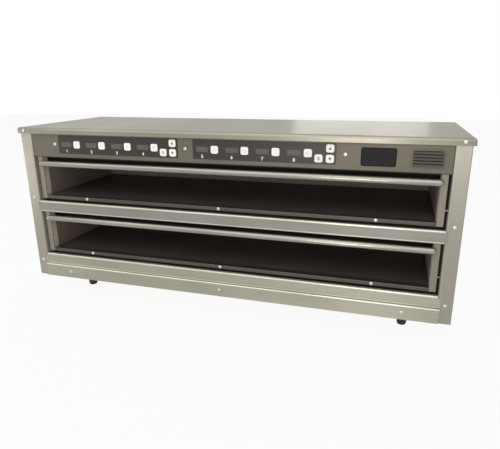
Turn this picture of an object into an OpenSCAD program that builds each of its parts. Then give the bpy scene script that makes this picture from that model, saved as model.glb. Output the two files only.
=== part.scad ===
// Heated holding bin for a counter: two open-fronted heated bins in a stainless cabinet.
// Millimetres, +Z up, front towards -Y, origin on the floor under the middle of the lid.

/* [Cabinet] */
// Width over the side panels
body_w = 1016; // [960:1:1080]
// Depth from the front posts to the rear panel
body_d = 340; // [330:1:380]
// Thickness of the stainless sheet
sheet_t = 1.2; // [1:0.1:1.5]
// Width of each front post
post_w = 30; // [28:0.5:34]
// Depth of the fold behind each front post
post_return = 22; // [20:1:24]
// Width of the folds at the top and rear of the side panels
side_fold = 15; // [12:1:20]

/* [Heights] */
// Height of the feet
foot_h = 58; // [40:1:100]
// Height of the plinth panel
plinth_h = 33; // [30:1:40]
// Height of each front rail
rail_h = 28; // [24:1:32]
// Height of the lower bin mouth
lower_open_h = 112.5; // [105:0.5:130]
// Height of the upper bin mouth
upper_open_h = 111; // [105:0.5:130]
// Visible height of the control panel
panel_h = 56.5; // [54:0.5:65]
// Height of the lip of the lid
lip_h = 14; // [12:0.5:18]
// Overhang of the lid on every side
lid_overhang = 5; // [4:0.5:8]
// Corner radius of the lid
lid_corner_r = 4; // [2:0.5:6]

/* [Rails and plinth] */
// Depth of the folds of a rail
rail_fold = 9; // [8:0.5:12]
// Radius of a rail's front edges
rail_edge_r = 3; // [2:0.5:4]
// Lap of the rails and plinth over each post
rail_lap = 5; // [3:0.5:8]
// How far the plinth stands proud of the rails
plinth_proud = 2.3; // [2:0.1:4]

/* [Bins] */
// Gap between each jamb and its post
jamb_gap = 6; // [4:0.5:10]
// Depth of the frame and liner joint behind the posts
liner_front = 24; // [24:1:30]
// Room between the liner's back wall and the outside of the rear panel
rear_room = 40; // [36:1:60]
// Height of the sill's upper face above the rail
sill_top = 14; // [13:0.5:18]
// Height of the sill's front face
sill_face_h = 8; // [7:0.5:10]
// Distance of the front frame behind the posts
frame_set = 6; // [5.5:0.1:8]
// Width of a jamb's front face
jamb_w = 13.3; // [12:0.1:15]
// Step from a jamb's inner face to the liner wall
jamb_step = 1.3; // [1.3:0.1:2]
// Height of the small tabs between jambs and posts
tab_h = 3; // [2:0.5:6]
// Height of the tabs above the rail
tab_rise = 38; // [30:1:60]
// Drop of the ceiling plate below the top of the mouth
ceiling_drop = 20.5; // [19.5:0.5:24]
// Height of the ceiling plate's front upturn
ceiling_upturn = 15; // [10:0.5:16]
// Diameter of the round-nosed bars
bar_dia = 14; // [12:0.5:16]
// How far a bar stands in front of the posts
bar_proud = 5; // [4:0.5:6]
// Drop of a bar's centre below the top of the mouth
bar_drop = 16.5; // [15:0.5:18]
// Distance from a bar's end to the post
bar_end_gap = 13; // [10:0.5:16]
// Thickness of a foil heater
heater_t = 1.8; // [1:0.1:3]
// Margin of a foil heater inside the liner
heater_margin = 18; // [10:1:40]
// Thickness of the insulation under the bin floors
floor_insulation_t = 25; // [20:1:28]
// Thickness of the insulation at the sides
side_insulation_t = 28; // [20:1:30]
// Width of the liner's inward bottom fold
liner_fold = 12; // [10:1:20]
// Clearance between plates that pass each other
plate_clear = 0.5; // [0.3:0.1:1]

/* [Feet] */
// Diameter of a foot at the top
foot_dia = 26; // [20:1:34]
// Diameter of a foot at the floor
foot_tip_dia = 21; // [16:1:30]
// Distance between the feet across the front
foot_span = 830; // [780:1:860]
// Distance of the front and rear feet from the faces of the cabinet
foot_set = 90; // [60:1:110]
// Diameter of a foot's stud
stud_dia = 8; // [6:0.5:10]
// Length of a foot's stud
stud_l = 11; // [8:0.5:14]
// Diameter of the weld nut on the base pan
weld_nut_dia = 18; // [16:1:22]
// Height of the weld nut
weld_nut_h = 8; // [6:0.5:10]
// Height of the base pan's upturned edge
base_edge_h = 24; // [15:1:28]
// Distance between the bearers under the lower bin
bearer_span = 760; // [600:1:770]
// Width of a bearer
bearer_w = 24; // [16:1:30]

/* [Control panel] */
// Distance of the control panel behind the posts
panel_set = 1.5; // [1.2:0.1:2.5]
// Gap between each end of the control panel and its post
panel_gap = 0.8; // [0.5:0.1:3]
// Depth of the control panel's bottom fold
panel_fold = 12; // [10:1:16]
// Thickness of an overlay
overlay_t = 0.5; // [0.3:0.1:0.8]
// Corner radius of an overlay
overlay_r = 3; // [1:0.5:6]
// Distance from the panel's left end to the left overlay
overlay_in = 75.2; // [68:0.1:82]
// Gap between the two overlays
overlay_gap = 36; // [30:1:40]
// Gap between the right overlay and the badge
badge_gap = 48; // [46:0.5:58]
// Height of an overlay
overlay_h = 43; // [42:0.5:46]
// Height of the overlays' lower edge above the panel's lower edge
overlay_rise = 10.5; // [10:0.5:12]
// Height of the timer keys above the panel's lower edge
key_rise = 32; // [30:0.5:34]
// Width and height of a timer key
timer_key = 17; // [16:0.5:19.5]
// Width and height of an up, down or programme key
program_key = 16.5; // [15:0.5:18]
// Corner radius of the keys
key_r = 4; // [2:0.5:6]
// Distance from an overlay's left edge to its first timer key
first_timer_in = 51; // [48:0.5:55]
// Distance from an overlay's right edge to its up and down keys
step_key_in = 12.5; // [12:0.1:13]
// Distance from the up and down keys to the programme key
program_key_gap = 23.1; // [22.5:0.1:25]
// Distance from the programme key to the last timer key
last_timer_gap = 22; // [21:0.1:26]
// Height of the up key above the timer keys
up_rise = 11.2; // [11:0.1:11.4]
// Drop of the down and programme keys below the timer keys
down_drop = 10; // [9.8:0.1:10.5]
// Travel of a key
key_travel = 0.8; // [0.4:0.1:1]
// How far a key stands proud of the overlay
key_proud = 1.4; // [1:0.1:2]
// Clearance round a key
key_clear = 0.4; // [0.3:0.1:0.5]
// Width of the rim that keeps a key in
key_rim = 1; // [0.8:0.1:1.1]
// Thickness of a key's rim
key_rim_t = 1; // [0.8:0.1:1.5]
// Gap between a key's rim and the panel
key_rim_gap = 0.3; // [0.2:0.1:0.5]
// Diameter of a key's stem
key_stem_dia = 6; // [4:0.5:8]
// Gap between a pressed key's stem and its push switch
stem_gap = 0.2; // [0.1:0.05:0.4]
// Width of a timer display
display_w = 29; // [26:0.5:30]
// Height of a timer display
display_h = 14; // [12:0.5:16]
// Corner radius of a timer display
display_r = 0.5; // [0.3:0.1:1]
// Distance from a timer key to its display
display_offset = 29; // [28.5:0.5:30]
// Distance of the control boards behind the panel
board_gap = 8; // [7.5:0.5:10]
// Thickness of a circuit board
board_t = 1.6; // [1:0.1:2]
// Height of a control board
board_h = 46; // [44:0.5:48]
// Diameter of a board's spacers
spacer_dia = 6; // [4:0.5:7]
// Width and height of a push switch under a key
push_switch = 6; // [5:0.5:8]
// Thickness of a push switch
push_switch_t = 1; // [0.8:0.1:1.5]

/* [Badge and vent] */
// Distance from the vent's centre to the badge's centre
badge_offset = 91.5; // [85:0.5:95]
// Width of the badge
badge_w = 68; // [50:1:80]
// Height of the badge
badge_h = 37; // [30:1:40]
// Thickness of the badge
badge_t = 1.4; // [0.8:0.1:2]
// Distance from the panel's right end to the vent's and fan's centre
vent_in = 45.7; // [38:0.1:46]
// Width of the vent
vent_w = 61; // [56:1:64]
// Height of the vent
vent_h = 37; // [34:1:40]
// Width of the vent's rim
vent_rim = 3.5; // [3:0.5:5]
// Number of louvres
louvre_count = 5; // [3:1:7]
// Depth of a louvre
louvre_d = 4; // [3:0.5:5]
// Tilt of the louvres
louvre_tilt = 35; // [20:1:45]
// Height of the badge, vent and fan above the panel's lower edge
badge_rise = 29; // [27:0.5:31]
// Width and height of the fan
fan_size = 40; // [38:1:42]
// Depth of the fan
fan_d = 20; // [15:1:25]
// Wall of the fan's frame
fan_wall = 1.5; // [1:0.1:2]
// Diameter of the fan's hub
fan_hub_dia = 16; // [14:0.5:20]
// Number of fan blades
blade_count = 7; // [3:1:9]
// Thickness of a fan blade
blade_t = 1.2; // [0.8:0.1:2]
// Pitch angle of the fan blades
blade_angle = 50; // [40:1:60]
// Diameter of the fan's shaft
fan_shaft_dia = 3; // [2:0.5:4]
// Thickness of the fan's struts
fan_strut_t = 3; // [2:0.5:4]
// Width of the fan's struts
fan_strut_w = 4; // [3:0.5:6]
// Gap before and behind the fan's rotor
rotor_gap = 0.9; // [0.5:0.1:0.9]
// Running clearance of the shafts and pins
run_clear = 0.06; // [0.03:0.01:0.1]
// Clearance of the fan blades in the frame
blade_clear = 0.8; // [0.5:0.1:1.5]

/* [Rear and electrics] */
// Distance of the power inlet from the side of the cabinet
inlet_in = 128; // [88:1:168]
// Distance from the power inlet to the power switch
switch_gap = 80; // [60:1:120]
// Height of the inlet and switch above the panel's lower edge
rear_rise = 32; // [28:0.5:36]
// Width of the inlet's flange
inlet_w = 50; // [44:1:56]
// Height of the inlet's flange
inlet_h = 30; // [28:1:34]
// Depth of the inlet behind the panel
inlet_d = 22; // [18:1:26]
// Wall of the inlet
inlet_wall = 2.5; // [2:0.5:3]
// Distance between the inlet's contact blades
blade_pitch = 9; // [8:0.5:11]
// Thickness of a contact blade
inlet_blade_t = 2; // [1.5:0.1:2.5]
// Height of a contact blade
inlet_blade_h = 6; // [4:0.5:8]
// Rise of the middle contact blade
earth_rise = 3; // [2:0.5:4]
// Distance of the blades' tips behind the rear panel's face
blade_recess = 8; // [6:0.5:10]
// Width of the switch's flange
switch_w = 32; // [28:1:36]
// Height of the switch's flange
switch_h = 28; // [26:1:32]
// Thickness of the flanges of inlet and switch
flange_t = 2; // [1.5:0.1:3]
// Margin of a flange round its cut-out
flange_margin = 4; // [3:0.5:5]
// Clearance of a body in its cut-out
cut_clear = 0.3; // [0.2:0.1:0.5]
// Wall of the switch's housing beside the rocker
switch_wall = 2; // [1.5:0.1:2.5]
// Depth of the switch behind the rear panel
switch_depth = 18; // [14:1:24]
// Distance of the rocker's pivot behind the flange's face
pivot_in = 3; // [2.5:0.1:4]
// Diameter of the rocker's pivot
pivot_dia = 3; // [2:0.5:4]
// Length of each of the rocker's pivot pins
pivot_l = 1.2; // [1:0.1:1.4]
// Gap beside the rocker
rocker_gap = 0.5; // [0.3:0.1:0.6]
// Gap above and below the rocker, for its swing
rocker_swing = 1.4; // [1.2:0.1:2]
// Height of the rocker's ridge over the flange
rocker_proud = 0.6; // [0.4:0.1:1.5]
// Depth of the rocker behind its pivot
rocker_d = 5; // [4:0.5:8]
// Tilt of the rocker to each side
rocker_tilt = 10; // [6:1:14]
// Number of air slots in the rear panel
slot_count = 12; // [4:1:20]
// Width of an air slot
slot_w = 4; // [2:0.5:6]
// Height of an air slot
slot_h = 30; // [15:1:36]
// Distance between air slots
slot_pitch = 12; // [8:1:14]
// Corner radius of an air slot
slot_r = 1.8; // [1:0.1:1.9]
// Place of the row of air slots across the rear
slot_x = -300; // [-340:1:-260]
// Width of the power board
power_board_w = 180; // [150:1:220]
// Depth of the power board
power_board_d = 110; // [90:1:130]
// Distance of the power board behind the posts
power_board_set = 130; // [90:1:150]
// Height of the power board over the tray
board_lift = 6; // [4:0.5:10]
// Relay width, depth and height
relay = [20, 16, 15]; // [12:1:30]
// Transformer width, depth and height
core = [46, 40, 32]; // [28:1:56]
// Diameter of a capacitor
capacitor_dia = 20; // [14:1:24]
// Height of a capacitor
capacitor_h = 26; // [20:1:34]
// Width of the terminal block
terminal_w = 64; // [50:1:80]
// Depth of the terminal block
terminal_d = 22; // [18:1:30]
// Height of the terminal block
terminal_h = 18; // [14:1:24]
// Number of ways in the terminal block
terminal_ways = 5; // [3:1:6]
// Distance of the terminal block before the back of the bins
terminal_set = 50; // [40:1:80]
// Sensor width, depth and height
sensor_size = [14, 6, 14]; // [5:0.5:20]
// Distance of the sensors from the middle
sensor_x = 180; // [140:1:184]
// Diameter of a high-limit thermostat
thermostat_dia = 16; // [12:0.5:20]
// Diameter of a thermostat's flange
thermostat_flange_dia = 24; // [22:0.5:28]
// Thickness of a thermostat's flange
thermostat_flange_t = 1.5; // [1:0.1:2]
// Height of a thermostat
thermostat_h = 10; // [8:0.5:14]
// Height of the thermostats above the sensors
thermostat_rise = 24; // [16:1:28]
// Diameter of the wiring trunk
loom_dia = 9; // [6:0.5:12]
// Diameter of the sensor leads
lead_dia = 3; // [2:0.5:4]
// Place of the wiring trunk across the rear
loom_x = 200; // [150:1:220]

/* [Screws] */
// Diameter of a screw head
screw_head_dia = 7.8; // [6:0.1:9]
// Height of a screw head
screw_head_h = 1.8; // [1.2:0.1:2.5]
// Diameter of a screw's shank
screw_dia = 3.8; // [3:0.1:4.5]
// Length of a screw's shank
screw_l = 5; // [4:0.5:8]
// Clearance of a shank in its hole
screw_clear = 0.2; // [0.1:0.05:0.4]
// Distance of a post screw from the side of the cabinet
post_screw_in = 15; // [12:0.5:17]
// Height of a post screw above the foot of its bin's front
post_screw_rise = 8; // [6:0.5:12]
// Distance from the left overlay to the left panel screw
left_screw_gap = 10; // [8:0.5:14]
// Distance from the right overlay to the right panel screw
right_screw_gap = 18; // [12:0.5:24]
// Distance of the outer rear screws from the panel's lower and upper edges
rear_screw_margin = 30; // [20:1:40]
// Number of screws down each side of the rear panel
rear_rows = 4; // [3:1:6]
// Spacing of the plinth screws from the middle
plinth_screw_x = 409.5; // [380:0.5:440]
// Spacing of the sill screws from the middle
sill_screw_x = 343; // [300:1:380]

/* [Hidden] */
$fn = 48;

// Cuts run this far past the faces that they open
over = 1;

// Faces of the cabinet
half_w = body_w / 2;
y_front = -body_d / 2;
y_rear = body_d / 2;
post_in = half_w - post_w;

// Levels from the floor upwards
z_base = foot_h;
z_bottom_rail = z_base + plinth_h;
z_lower = z_bottom_rail + rail_h;
z_mid_rail = z_lower + lower_open_h;
z_upper = z_mid_rail + rail_h;
z_panel = z_upper + upper_open_h;
z_lip = z_panel + panel_h;
z_top = z_lip + lip_h;
z_lid_seat = z_top - sheet_t;
z_tray = z_panel + rail_edge_r;

// Depths of the front faces
y_rail = y_front - sheet_t;
y_plinth = y_rail - plinth_proud;
y_frame = y_front + frame_set;
y_liner = y_front + liner_front;
y_back = y_rear - rear_room;
y_panel = y_front + panel_set;
y_panel_back = y_panel + sheet_t;
y_overlay = y_panel - overlay_t;
y_board = y_panel_back + board_gap;

// Bins
jamb_out = post_in - jamb_gap;
jamb_in = jamb_out - jamb_w;
wall_in = jamb_in + jamb_step;
wall_out = wall_in + sheet_t;
floor_half = jamb_in - plate_clear;
function sill_z(mouth) = mouth + sill_top;
function floor_z(mouth) = sill_z(mouth) - sheet_t;
function heater_z(mouth) = floor_z(mouth) - sheet_t - heater_t;
function insulation_z(mouth) = heater_z(mouth) - floor_insulation_t;
function liner_z(mouth) = insulation_z(mouth) - sheet_t;
function ceiling_z(mouth, mouth_h) = mouth + mouth_h - ceiling_drop;
function ceiling_heater_z(mouth, mouth_h) = ceiling_z(mouth, mouth_h) + sheet_t;
function over_ceiling_z(mouth, mouth_h) = ceiling_heater_z(mouth, mouth_h) + heater_t;

// Controls
z_keys = z_panel + key_rise;
z_overlay = z_panel + overlay_rise + overlay_h / 2;
z_badge = z_panel + badge_rise;
z_board = z_overlay;
panel_half = post_in - panel_gap;
vent_x = panel_half - vent_in;
badge_x = vent_x - badge_offset;
overlays_start = -panel_half + overlay_in;
overlays_end = badge_x - badge_w / 2 - badge_gap;
overlay_w = (overlays_end - overlays_start - overlay_gap) / 2;
groups = [overlays_start + overlay_w / 2, overlays_end - overlay_w / 2];
panel_screws = [
    overlays_start - left_screw_gap,
    (groups[0] + groups[1]) / 2,
    overlays_end + right_screw_gap
];
first_timer_x = first_timer_in - overlay_w / 2;
step_key_x = overlay_w / 2 - step_key_in;
program_key_x = step_key_x - program_key_gap;
timer_pitch = (program_key_x - last_timer_gap - first_timer_x) / 3;
function timer_x(i) = first_timer_x + timer_pitch * i;
// Keys of one group as [place, height, size]
group_keys = [
    for (i = [0:3]) [timer_x(i), z_keys, timer_key],
    [step_key_x, z_keys + up_rise, program_key],
    [step_key_x, z_keys - down_drop, program_key],
    [program_key_x, z_keys - down_drop, program_key]
];
key_front = y_overlay - key_proud;
rim_front = y_panel_back + key_rim_gap;
stem_end = y_board - push_switch_t - key_travel - stem_gap;

// Rear panel
inlet_x = half_w - inlet_in;
switch_x = inlet_x - switch_gap;

// Colours
steel = [0.72, 0.71, 0.66];
bright = [0.86, 0.85, 0.82];
dark_coat = [0.14, 0.13, 0.12];
panel_grey = [0.50, 0.48, 0.42];
overlay_grey = [0.22, 0.20, 0.18];
white = [0.95, 0.95, 0.93];
black = [0.07, 0.07, 0.07];
board_green = [0.10, 0.35, 0.20];
wool = [0.62, 0.58, 0.45];
foil = [0.75, 0.55, 0.25];

// Shapes used by several pieces

// Box between two corners
module span(low, high) {
    translate(low) cube(high - low);
}

// Rectangle with round corners, about its centre
module rounded_rect(w, h, r) {
    square([w - 2 * r, h], center = true);
    square([w, h - 2 * r], center = true);
    for (sx = [-1, 1], sz = [-1, 1])
        translate([sx * (w / 2 - r), sz * (h / 2 - r)]) circle(r);
}

// Upright plate with round corners between two depths
module upright(x, z, w, h, r, y1, y2) {
    translate([x, y2, z]) rotate([90, 0, 0]) linear_extrude(y2 - y1) rounded_rect(w, h, r);
}

// Round bar along Y between two depths
module round_y(x, z, dia, y1, y2) {
    translate([x, y2, z]) rotate([90, 0, 0]) cylinder(d = dia, h = y2 - y1);
}

// Outline with round front corners: depth across, height up
module nosed(d, h, r) {
    translate([r, 0]) square([d - r, h]);
    translate([0, r]) square([d, h - 2 * r]);
    for (z = [r, h - r]) translate([r, z]) circle(r);
}

// Section of a folded channel, open to the rear
module channel_section(d, h, r) {
    difference() {
        nosed(d, h, r);
        translate([sheet_t, sheet_t]) nosed(d, h - 2 * sheet_t, r - sheet_t);
    }
}

// Length of folded section across the cabinet, its outline drawn as depth and height
module across(half, y, z) {
    translate([-half, y, z]) rotate([90, 0, 90]) linear_extrude(2 * half) children();
}

// Left and right copies
module both_sides() {
    children();
    mirror([1, 0, 0]) children();
}

// Holes for screws that go in towards the rear
module screw_holes(places, y) {
    for (p = places)
        round_y(p[0], p[1], screw_dia + 2 * screw_clear, y - over, y + screw_l + over);
}

// Screws with their heads on a face that looks to the front
module screws(places, y) {
    for (p = places) {
        round_y(p[0], p[1], screw_head_dia, y - screw_head_h, y);
        round_y(p[0], p[1], screw_dia, y, y + screw_l);
    }
}

// Places of the screws

plinth_screws = [for (k = [-1:1]) [k * plinth_screw_x, z_base + plinth_h / 2]];
post_screw_x = half_w - post_screw_in;
post_screws = [
    for (s = [-1, 1], z = [z_bottom_rail, z_upper]) [s * post_screw_x, z + post_screw_rise]
];
lid_screws = [for (s = [-1, 1]) [s * post_screw_x, z_lip + lip_h / 2]];
fascia_screws = [for (x = panel_screws) [x, z_keys]];
function sill_screws(mouth) = [for (k = [-1:1]) [k * sill_screw_x, sill_z(mouth) - sill_face_h / 2]];
rear_screw_x = half_w - sheet_t - side_fold / 2;
rear_row_step = (z_lip - z_base - 2 * rear_screw_margin) / (rear_rows - 1);
rear_panel_screws = [
    for (s = [-1, 1], k = [0:rear_rows - 1])
        [s * rear_screw_x, z_base + rear_screw_margin + k * rear_row_step]
];

// Cabinet

// Floor tray of the cabinet with its front tongue, two bearers and four weld nuts
module base_pan() {
    tray_half = half_w - sheet_t;
    tray_front = y_front + sheet_t;
    tray_rear = y_rear - 2 * sheet_t;
    tongue_half = post_in - plate_clear;
    tongue_front = y_plinth + sheet_t;
    color(steel) difference() {
        union() {
            difference() {
                span([-tray_half, tray_front, z_base], [tray_half, tray_rear, z_base + base_edge_h]);
                span([-tray_half + sheet_t, tray_front - over, z_base + sheet_t],
                     [tray_half - sheet_t, tray_rear - sheet_t, z_base + base_edge_h + over]);
                post_notch();
            }
            span([-tongue_half, tongue_front, z_base], [tongue_half, tray_front, z_base + sheet_t]);
            span([-tongue_half, tongue_front, z_base],
                 [tongue_half, tongue_front + sheet_t, z_base + base_edge_h]);
            both_sides() bearer();
            foot_places() translate([0, 0, z_base]) cylinder(d = weld_nut_dia, h = sheet_t + weld_nut_h);
        }
        foot_places() translate([0, 0, z_base - over])
            cylinder(d = stud_dia + 2 * screw_clear, h = sheet_t + weld_nut_h + 2 * over);
        screw_holes(plinth_screws, y_plinth);
    }
}

// Room in the base pan for the folds of the front posts
module post_notch() {
    both_sides()
        span([post_in - plate_clear, y_front - over, z_base - over],
             [half_w, y_front + post_return + plate_clear, z_base + base_edge_h + over]);
}

// Channel that carries the lower bin
module bearer() {
    x = bearer_span / 2;
    top = liner_z(z_lower);
    difference() {
        span([x - bearer_w / 2, y_liner, z_base], [x + bearer_w / 2, y_back, top]);
        span([x - bearer_w / 2 + sheet_t, y_liner - over, z_base + sheet_t],
             [x + bearer_w / 2 - sheet_t, y_back + over, top - sheet_t]);
    }
}

// Places of the four feet
module foot_places() {
    for (sx = [-1, 1], sy = [-1, 1])
        translate([sx * foot_span / 2, sy * (body_d / 2 - foot_set), 0]) children();
}

// Rubber feet, each with a moulded-in stud
module feet() {
    color(black) foot_places() {
        cylinder(d1 = foot_tip_dia, d2 = foot_dia, h = foot_h);
        cylinder(d = stud_dia, h = foot_h + stud_l);
    }
}

// Rail: a channel between the posts whose front face laps over them
module front_rail(z) {
    lap_half = post_in + rail_lap;
    inner_half = post_in - plate_clear;
    color(steel) {
        across(inner_half, y_rail, z) channel_section(rail_fold, rail_h, rail_edge_r);
        both_sides()
            span([inner_half, y_rail, z + rail_edge_r], [lap_half, y_front, z + rail_h - rail_edge_r]);
    }
}

// Front panel under the bins: its top edge is rolled over and its ends are folded back to the posts
module plinth_panel() {
    half = post_in + rail_lap;
    deep = y_front - y_plinth;
    color(steel) difference() {
        union() {
            across(half, y_plinth, z_base - plinth_h) intersection() {
                channel_section(deep + rail_edge_r, 2 * plinth_h, rail_edge_r);
                translate([0, plinth_h]) square([deep, plinth_h]);
            }
            both_sides()
                span([half - sheet_t, y_plinth + rail_edge_r / 2, z_base],
                     [half, y_front, z_base + plinth_h - sheet_t / 2]);
        }
        screw_holes(plinth_screws, y_plinth);
    }
}

module bottom_rail() {
    front_rail(z_bottom_rail);
}

module mid_rail() {
    front_rail(z_mid_rail);
}

// Folded side with its front post, seen as the right one
module side_panel() {
    h = z_lid_seat - z_base;
    difference() {
        union() {
            translate([0, 0, z_base]) linear_extrude(h) {
                translate([half_w - sheet_t, y_front]) square([sheet_t, body_d]);
                translate([post_in, y_front]) square([post_w, sheet_t]);
                translate([post_in, y_front]) square([sheet_t, post_return]);
                translate([half_w - side_fold - sheet_t, y_rear - 2 * sheet_t])
                    square([side_fold + sheet_t, sheet_t]);
            }
            span([half_w - side_fold, y_front + post_return + plate_clear, z_lid_seat - sheet_t],
                 [half_w, y_rear - 2 * sheet_t, z_lid_seat]);
        }
        screw_holes(post_screws, y_front);
        screw_holes(rear_panel_screws, y_rear - screw_l);
    }
}

module side_panel_right() {
    color(steel) side_panel();
}

module side_panel_left() {
    color(steel) mirror([1, 0, 0]) side_panel();
}

// Rear panel with its air slots and cut-outs
module rear_panel() {
    z_slots = z_panel + rear_rise;
    color(steel) difference() {
        span([-half_w + sheet_t, y_rear - sheet_t, z_base], [half_w - sheet_t, y_rear, z_lid_seat]);
        for (k = [0:slot_count - 1])
            upright(slot_x + (k - (slot_count - 1) / 2) * slot_pitch, z_slots, slot_w, slot_h, slot_r,
                    y_rear - sheet_t - over, y_rear + over);
        rear_cut(inlet_x, inlet_w, inlet_h);
        rear_cut(switch_x, switch_w, switch_h);
        screw_holes(rear_panel_screws, y_rear - screw_l);
    }
}

// Cut-out in the rear panel for a flanged body
module rear_cut(x, w, h) {
    margin = flange_margin - cut_clear;
    span([x - w / 2 + margin, y_rear - sheet_t - over, z_panel + rear_rise - h / 2 + margin],
         [x + w / 2 - margin, y_rear + over, z_panel + rear_rise + h / 2 - margin]);
}

// Lid: top sheet with a turned-down lip all round
module top_cover() {
    w = body_w + 2 * lid_overhang;
    d = body_d + 2 * lid_overhang;
    color(bright) difference() {
        translate([0, 0, z_lip]) linear_extrude(lip_h) rounded_rect(w, d, lid_corner_r);
        translate([0, 0, z_lip - over]) linear_extrude(lip_h - sheet_t + over)
            rounded_rect(w - 2 * sheet_t, d - 2 * sheet_t, lid_corner_r - sheet_t);
        screw_holes(lid_screws, y_front - lid_overhang);
        screw_holes(lid_screws, y_rear + lid_overhang - screw_l);
    }
}

// Bins

// Liner of one bin: both sides and the back, with an inward fold that carries the floor
module bin_wrap(mouth, mouth_h) {
    low = liner_z(mouth);
    high = ceiling_z(mouth, mouth_h);
    color(dark_coat) difference() {
        span([-wall_out, y_liner, low], [wall_out, y_back + sheet_t, high]);
        span([-wall_in, y_liner - over, low + sheet_t], [wall_in, y_back, high + over]);
        span([-wall_in + liner_fold, y_liner - over, low - over],
             [wall_in - liner_fold, y_back - liner_fold, low + 2 * sheet_t]);
    }
}

module upper_bin_wrap() {
    bin_wrap(z_upper, upper_open_h);
}

module lower_bin_wrap() {
    bin_wrap(z_lower, lower_open_h);
}

// Heated floor plate with a turned-down front edge behind the sill
module bin_floor(mouth) {
    top = floor_z(mouth);
    edge = y_frame + sheet_t;
    color(dark_coat) difference() {
        union() {
            span([-floor_half, edge, top - sheet_t], [floor_half, y_back, top]);
            span([-floor_half, edge, sill_z(mouth) - sill_face_h], [floor_half, edge + sheet_t, top]);
        }
        screw_holes(sill_screws(mouth), y_frame);
    }
}

module upper_bin_floor() {
    bin_floor(z_upper);
}

module lower_bin_floor() {
    bin_floor(z_lower);
}

// Heated ceiling plate that lies on the liner, with a turned-up front edge
module bin_ceiling(mouth, mouth_h) {
    low = ceiling_z(mouth, mouth_h);
    color(dark_coat) {
        span([-wall_out, y_liner, low], [wall_out, y_back + sheet_t, low + sheet_t]);
        span([-wall_out, y_liner, low], [wall_out, y_liner + sheet_t, low + ceiling_upturn]);
    }
}

module upper_bin_ceiling() {
    bin_ceiling(z_upper, upper_open_h);
}

module lower_bin_ceiling() {
    bin_ceiling(z_lower, lower_open_h);
}

// Frame in the mouth of a bin: two jambs, a sill and two tabs to the posts, welded
module front_frame(mouth, mouth_h) {
    low = sill_z(mouth) - sill_face_h;
    high = mouth + mouth_h;
    sill = sill_z(mouth);
    color(bright) difference() {
        union() {
            both_sides() {
                span([jamb_in, y_frame, low], [jamb_out, y_frame + sheet_t, high]);
                span([jamb_in, y_frame, low], [jamb_in + sheet_t, y_liner, high]);
                span([jamb_out, y_frame, mouth + tab_rise],
                     [post_in, y_frame + sheet_t, mouth + tab_rise + tab_h]);
            }
            span([-jamb_in, y_frame, low], [jamb_in, y_frame + sheet_t, sill]);
            span([-jamb_in, y_frame, sill - sheet_t], [jamb_in, y_liner, sill]);
        }
        screw_holes(sill_screws(mouth), y_frame);
    }
}

module upper_front_frame() {
    front_frame(z_upper, upper_open_h);
}

module lower_front_frame() {
    front_frame(z_lower, lower_open_h);
}

// Round-nosed bar across the mouth of a bin, flat at the back where it meets the jambs
module nose_bar(mouth, mouth_h) {
    half = post_in - bar_end_gap - bar_dia / 2;
    color(bright) difference() {
        translate([0, y_front - bar_proud + bar_dia / 2, mouth + mouth_h - bar_drop]) {
            translate([-half, 0, 0]) rotate([0, 90, 0]) cylinder(d = bar_dia, h = 2 * half);
            for (s = [-1, 1]) translate([s * half, 0, 0]) sphere(d = bar_dia);
        }
        span([-half_w, y_frame, mouth], [half_w, y_frame + bar_dia, mouth + mouth_h]);
    }
}

module upper_bar() {
    nose_bar(z_upper, upper_open_h);
}

module lower_bar() {
    nose_bar(z_lower, lower_open_h);
}

// Foil heaters under the two floor plates
module floor_heaters() {
    half = wall_in - heater_margin;
    color(foil) for (mouth = [z_lower, z_upper])
        span([-half, y_liner + heater_margin, heater_z(mouth)],
             [half, y_back - heater_margin, heater_z(mouth) + heater_t]);
}

// Foil heaters on the two ceiling plates
module ceiling_heaters() {
    half = wall_in - heater_margin;
    color(foil) for (bin = [[z_lower, lower_open_h], [z_upper, upper_open_h]])
        span([-half, y_liner + heater_margin, ceiling_heater_z(bin[0], bin[1])],
             [half, y_back - heater_margin, over_ceiling_z(bin[0], bin[1])]);
}

// Boards of insulation under the two bin floors, held by the fold of the liner
module floor_insulation() {
    half = wall_in - plate_clear;
    color(wool) for (mouth = [z_lower, z_upper])
        span([-half, y_liner, insulation_z(mouth)], [half, y_back - plate_clear, heater_z(mouth)]);
}

// Board of insulation over one ceiling, from its heater up to a given level
module ceiling_insulation(mouth, mouth_h, top) {
    color(wool)
        span([-wall_out, y_liner + sheet_t, over_ceiling_z(mouth, mouth_h)], [wall_out, y_back, top]);
}

module middle_insulation() {
    ceiling_insulation(z_lower, lower_open_h, liner_z(z_upper));
}

module top_insulation() {
    ceiling_insulation(z_upper, upper_open_h, z_tray);
}

// Boards of insulation beside the bins, standing on the base pan
module side_insulation() {
    color(wool) both_sides()
        span([wall_out, y_front + post_return + liner_fold, z_base + sheet_t],
             [wall_out + side_insulation_t, y_back, z_tray]);
}

// Controls

// Folded control panel with its openings
module control_panel() {
    color(panel_grey) difference() {
        union() {
            across(panel_half, y_panel, z_panel) intersection() {
                channel_section(panel_fold, 2 * panel_h, rail_edge_r);
                square([panel_fold, z_lid_seat - z_panel]);
            }
        }
        for (g = groups) {
            for (k = group_keys) key_opening(g + k[0], k[1], k[2]);
            for (i = [0:3])
                upright(g + timer_x(i) - display_offset, z_keys, display_w, display_h, display_r,
                        y_panel - over, y_panel_back + over);
        }
        upright(vent_x, z_badge, vent_w - 2 * vent_rim, vent_h - 2 * vent_rim, vent_rim / 2,
                y_panel - over, y_panel_back + over);
        screw_holes(fascia_screws, y_panel);
    }
}

// Opening for one key
module key_opening(x, z, size) {
    upright(x, z, size + 2 * key_clear, size + 2 * key_clear, key_r + key_clear,
            y_overlay - over, y_panel_back + over);
}

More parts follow.
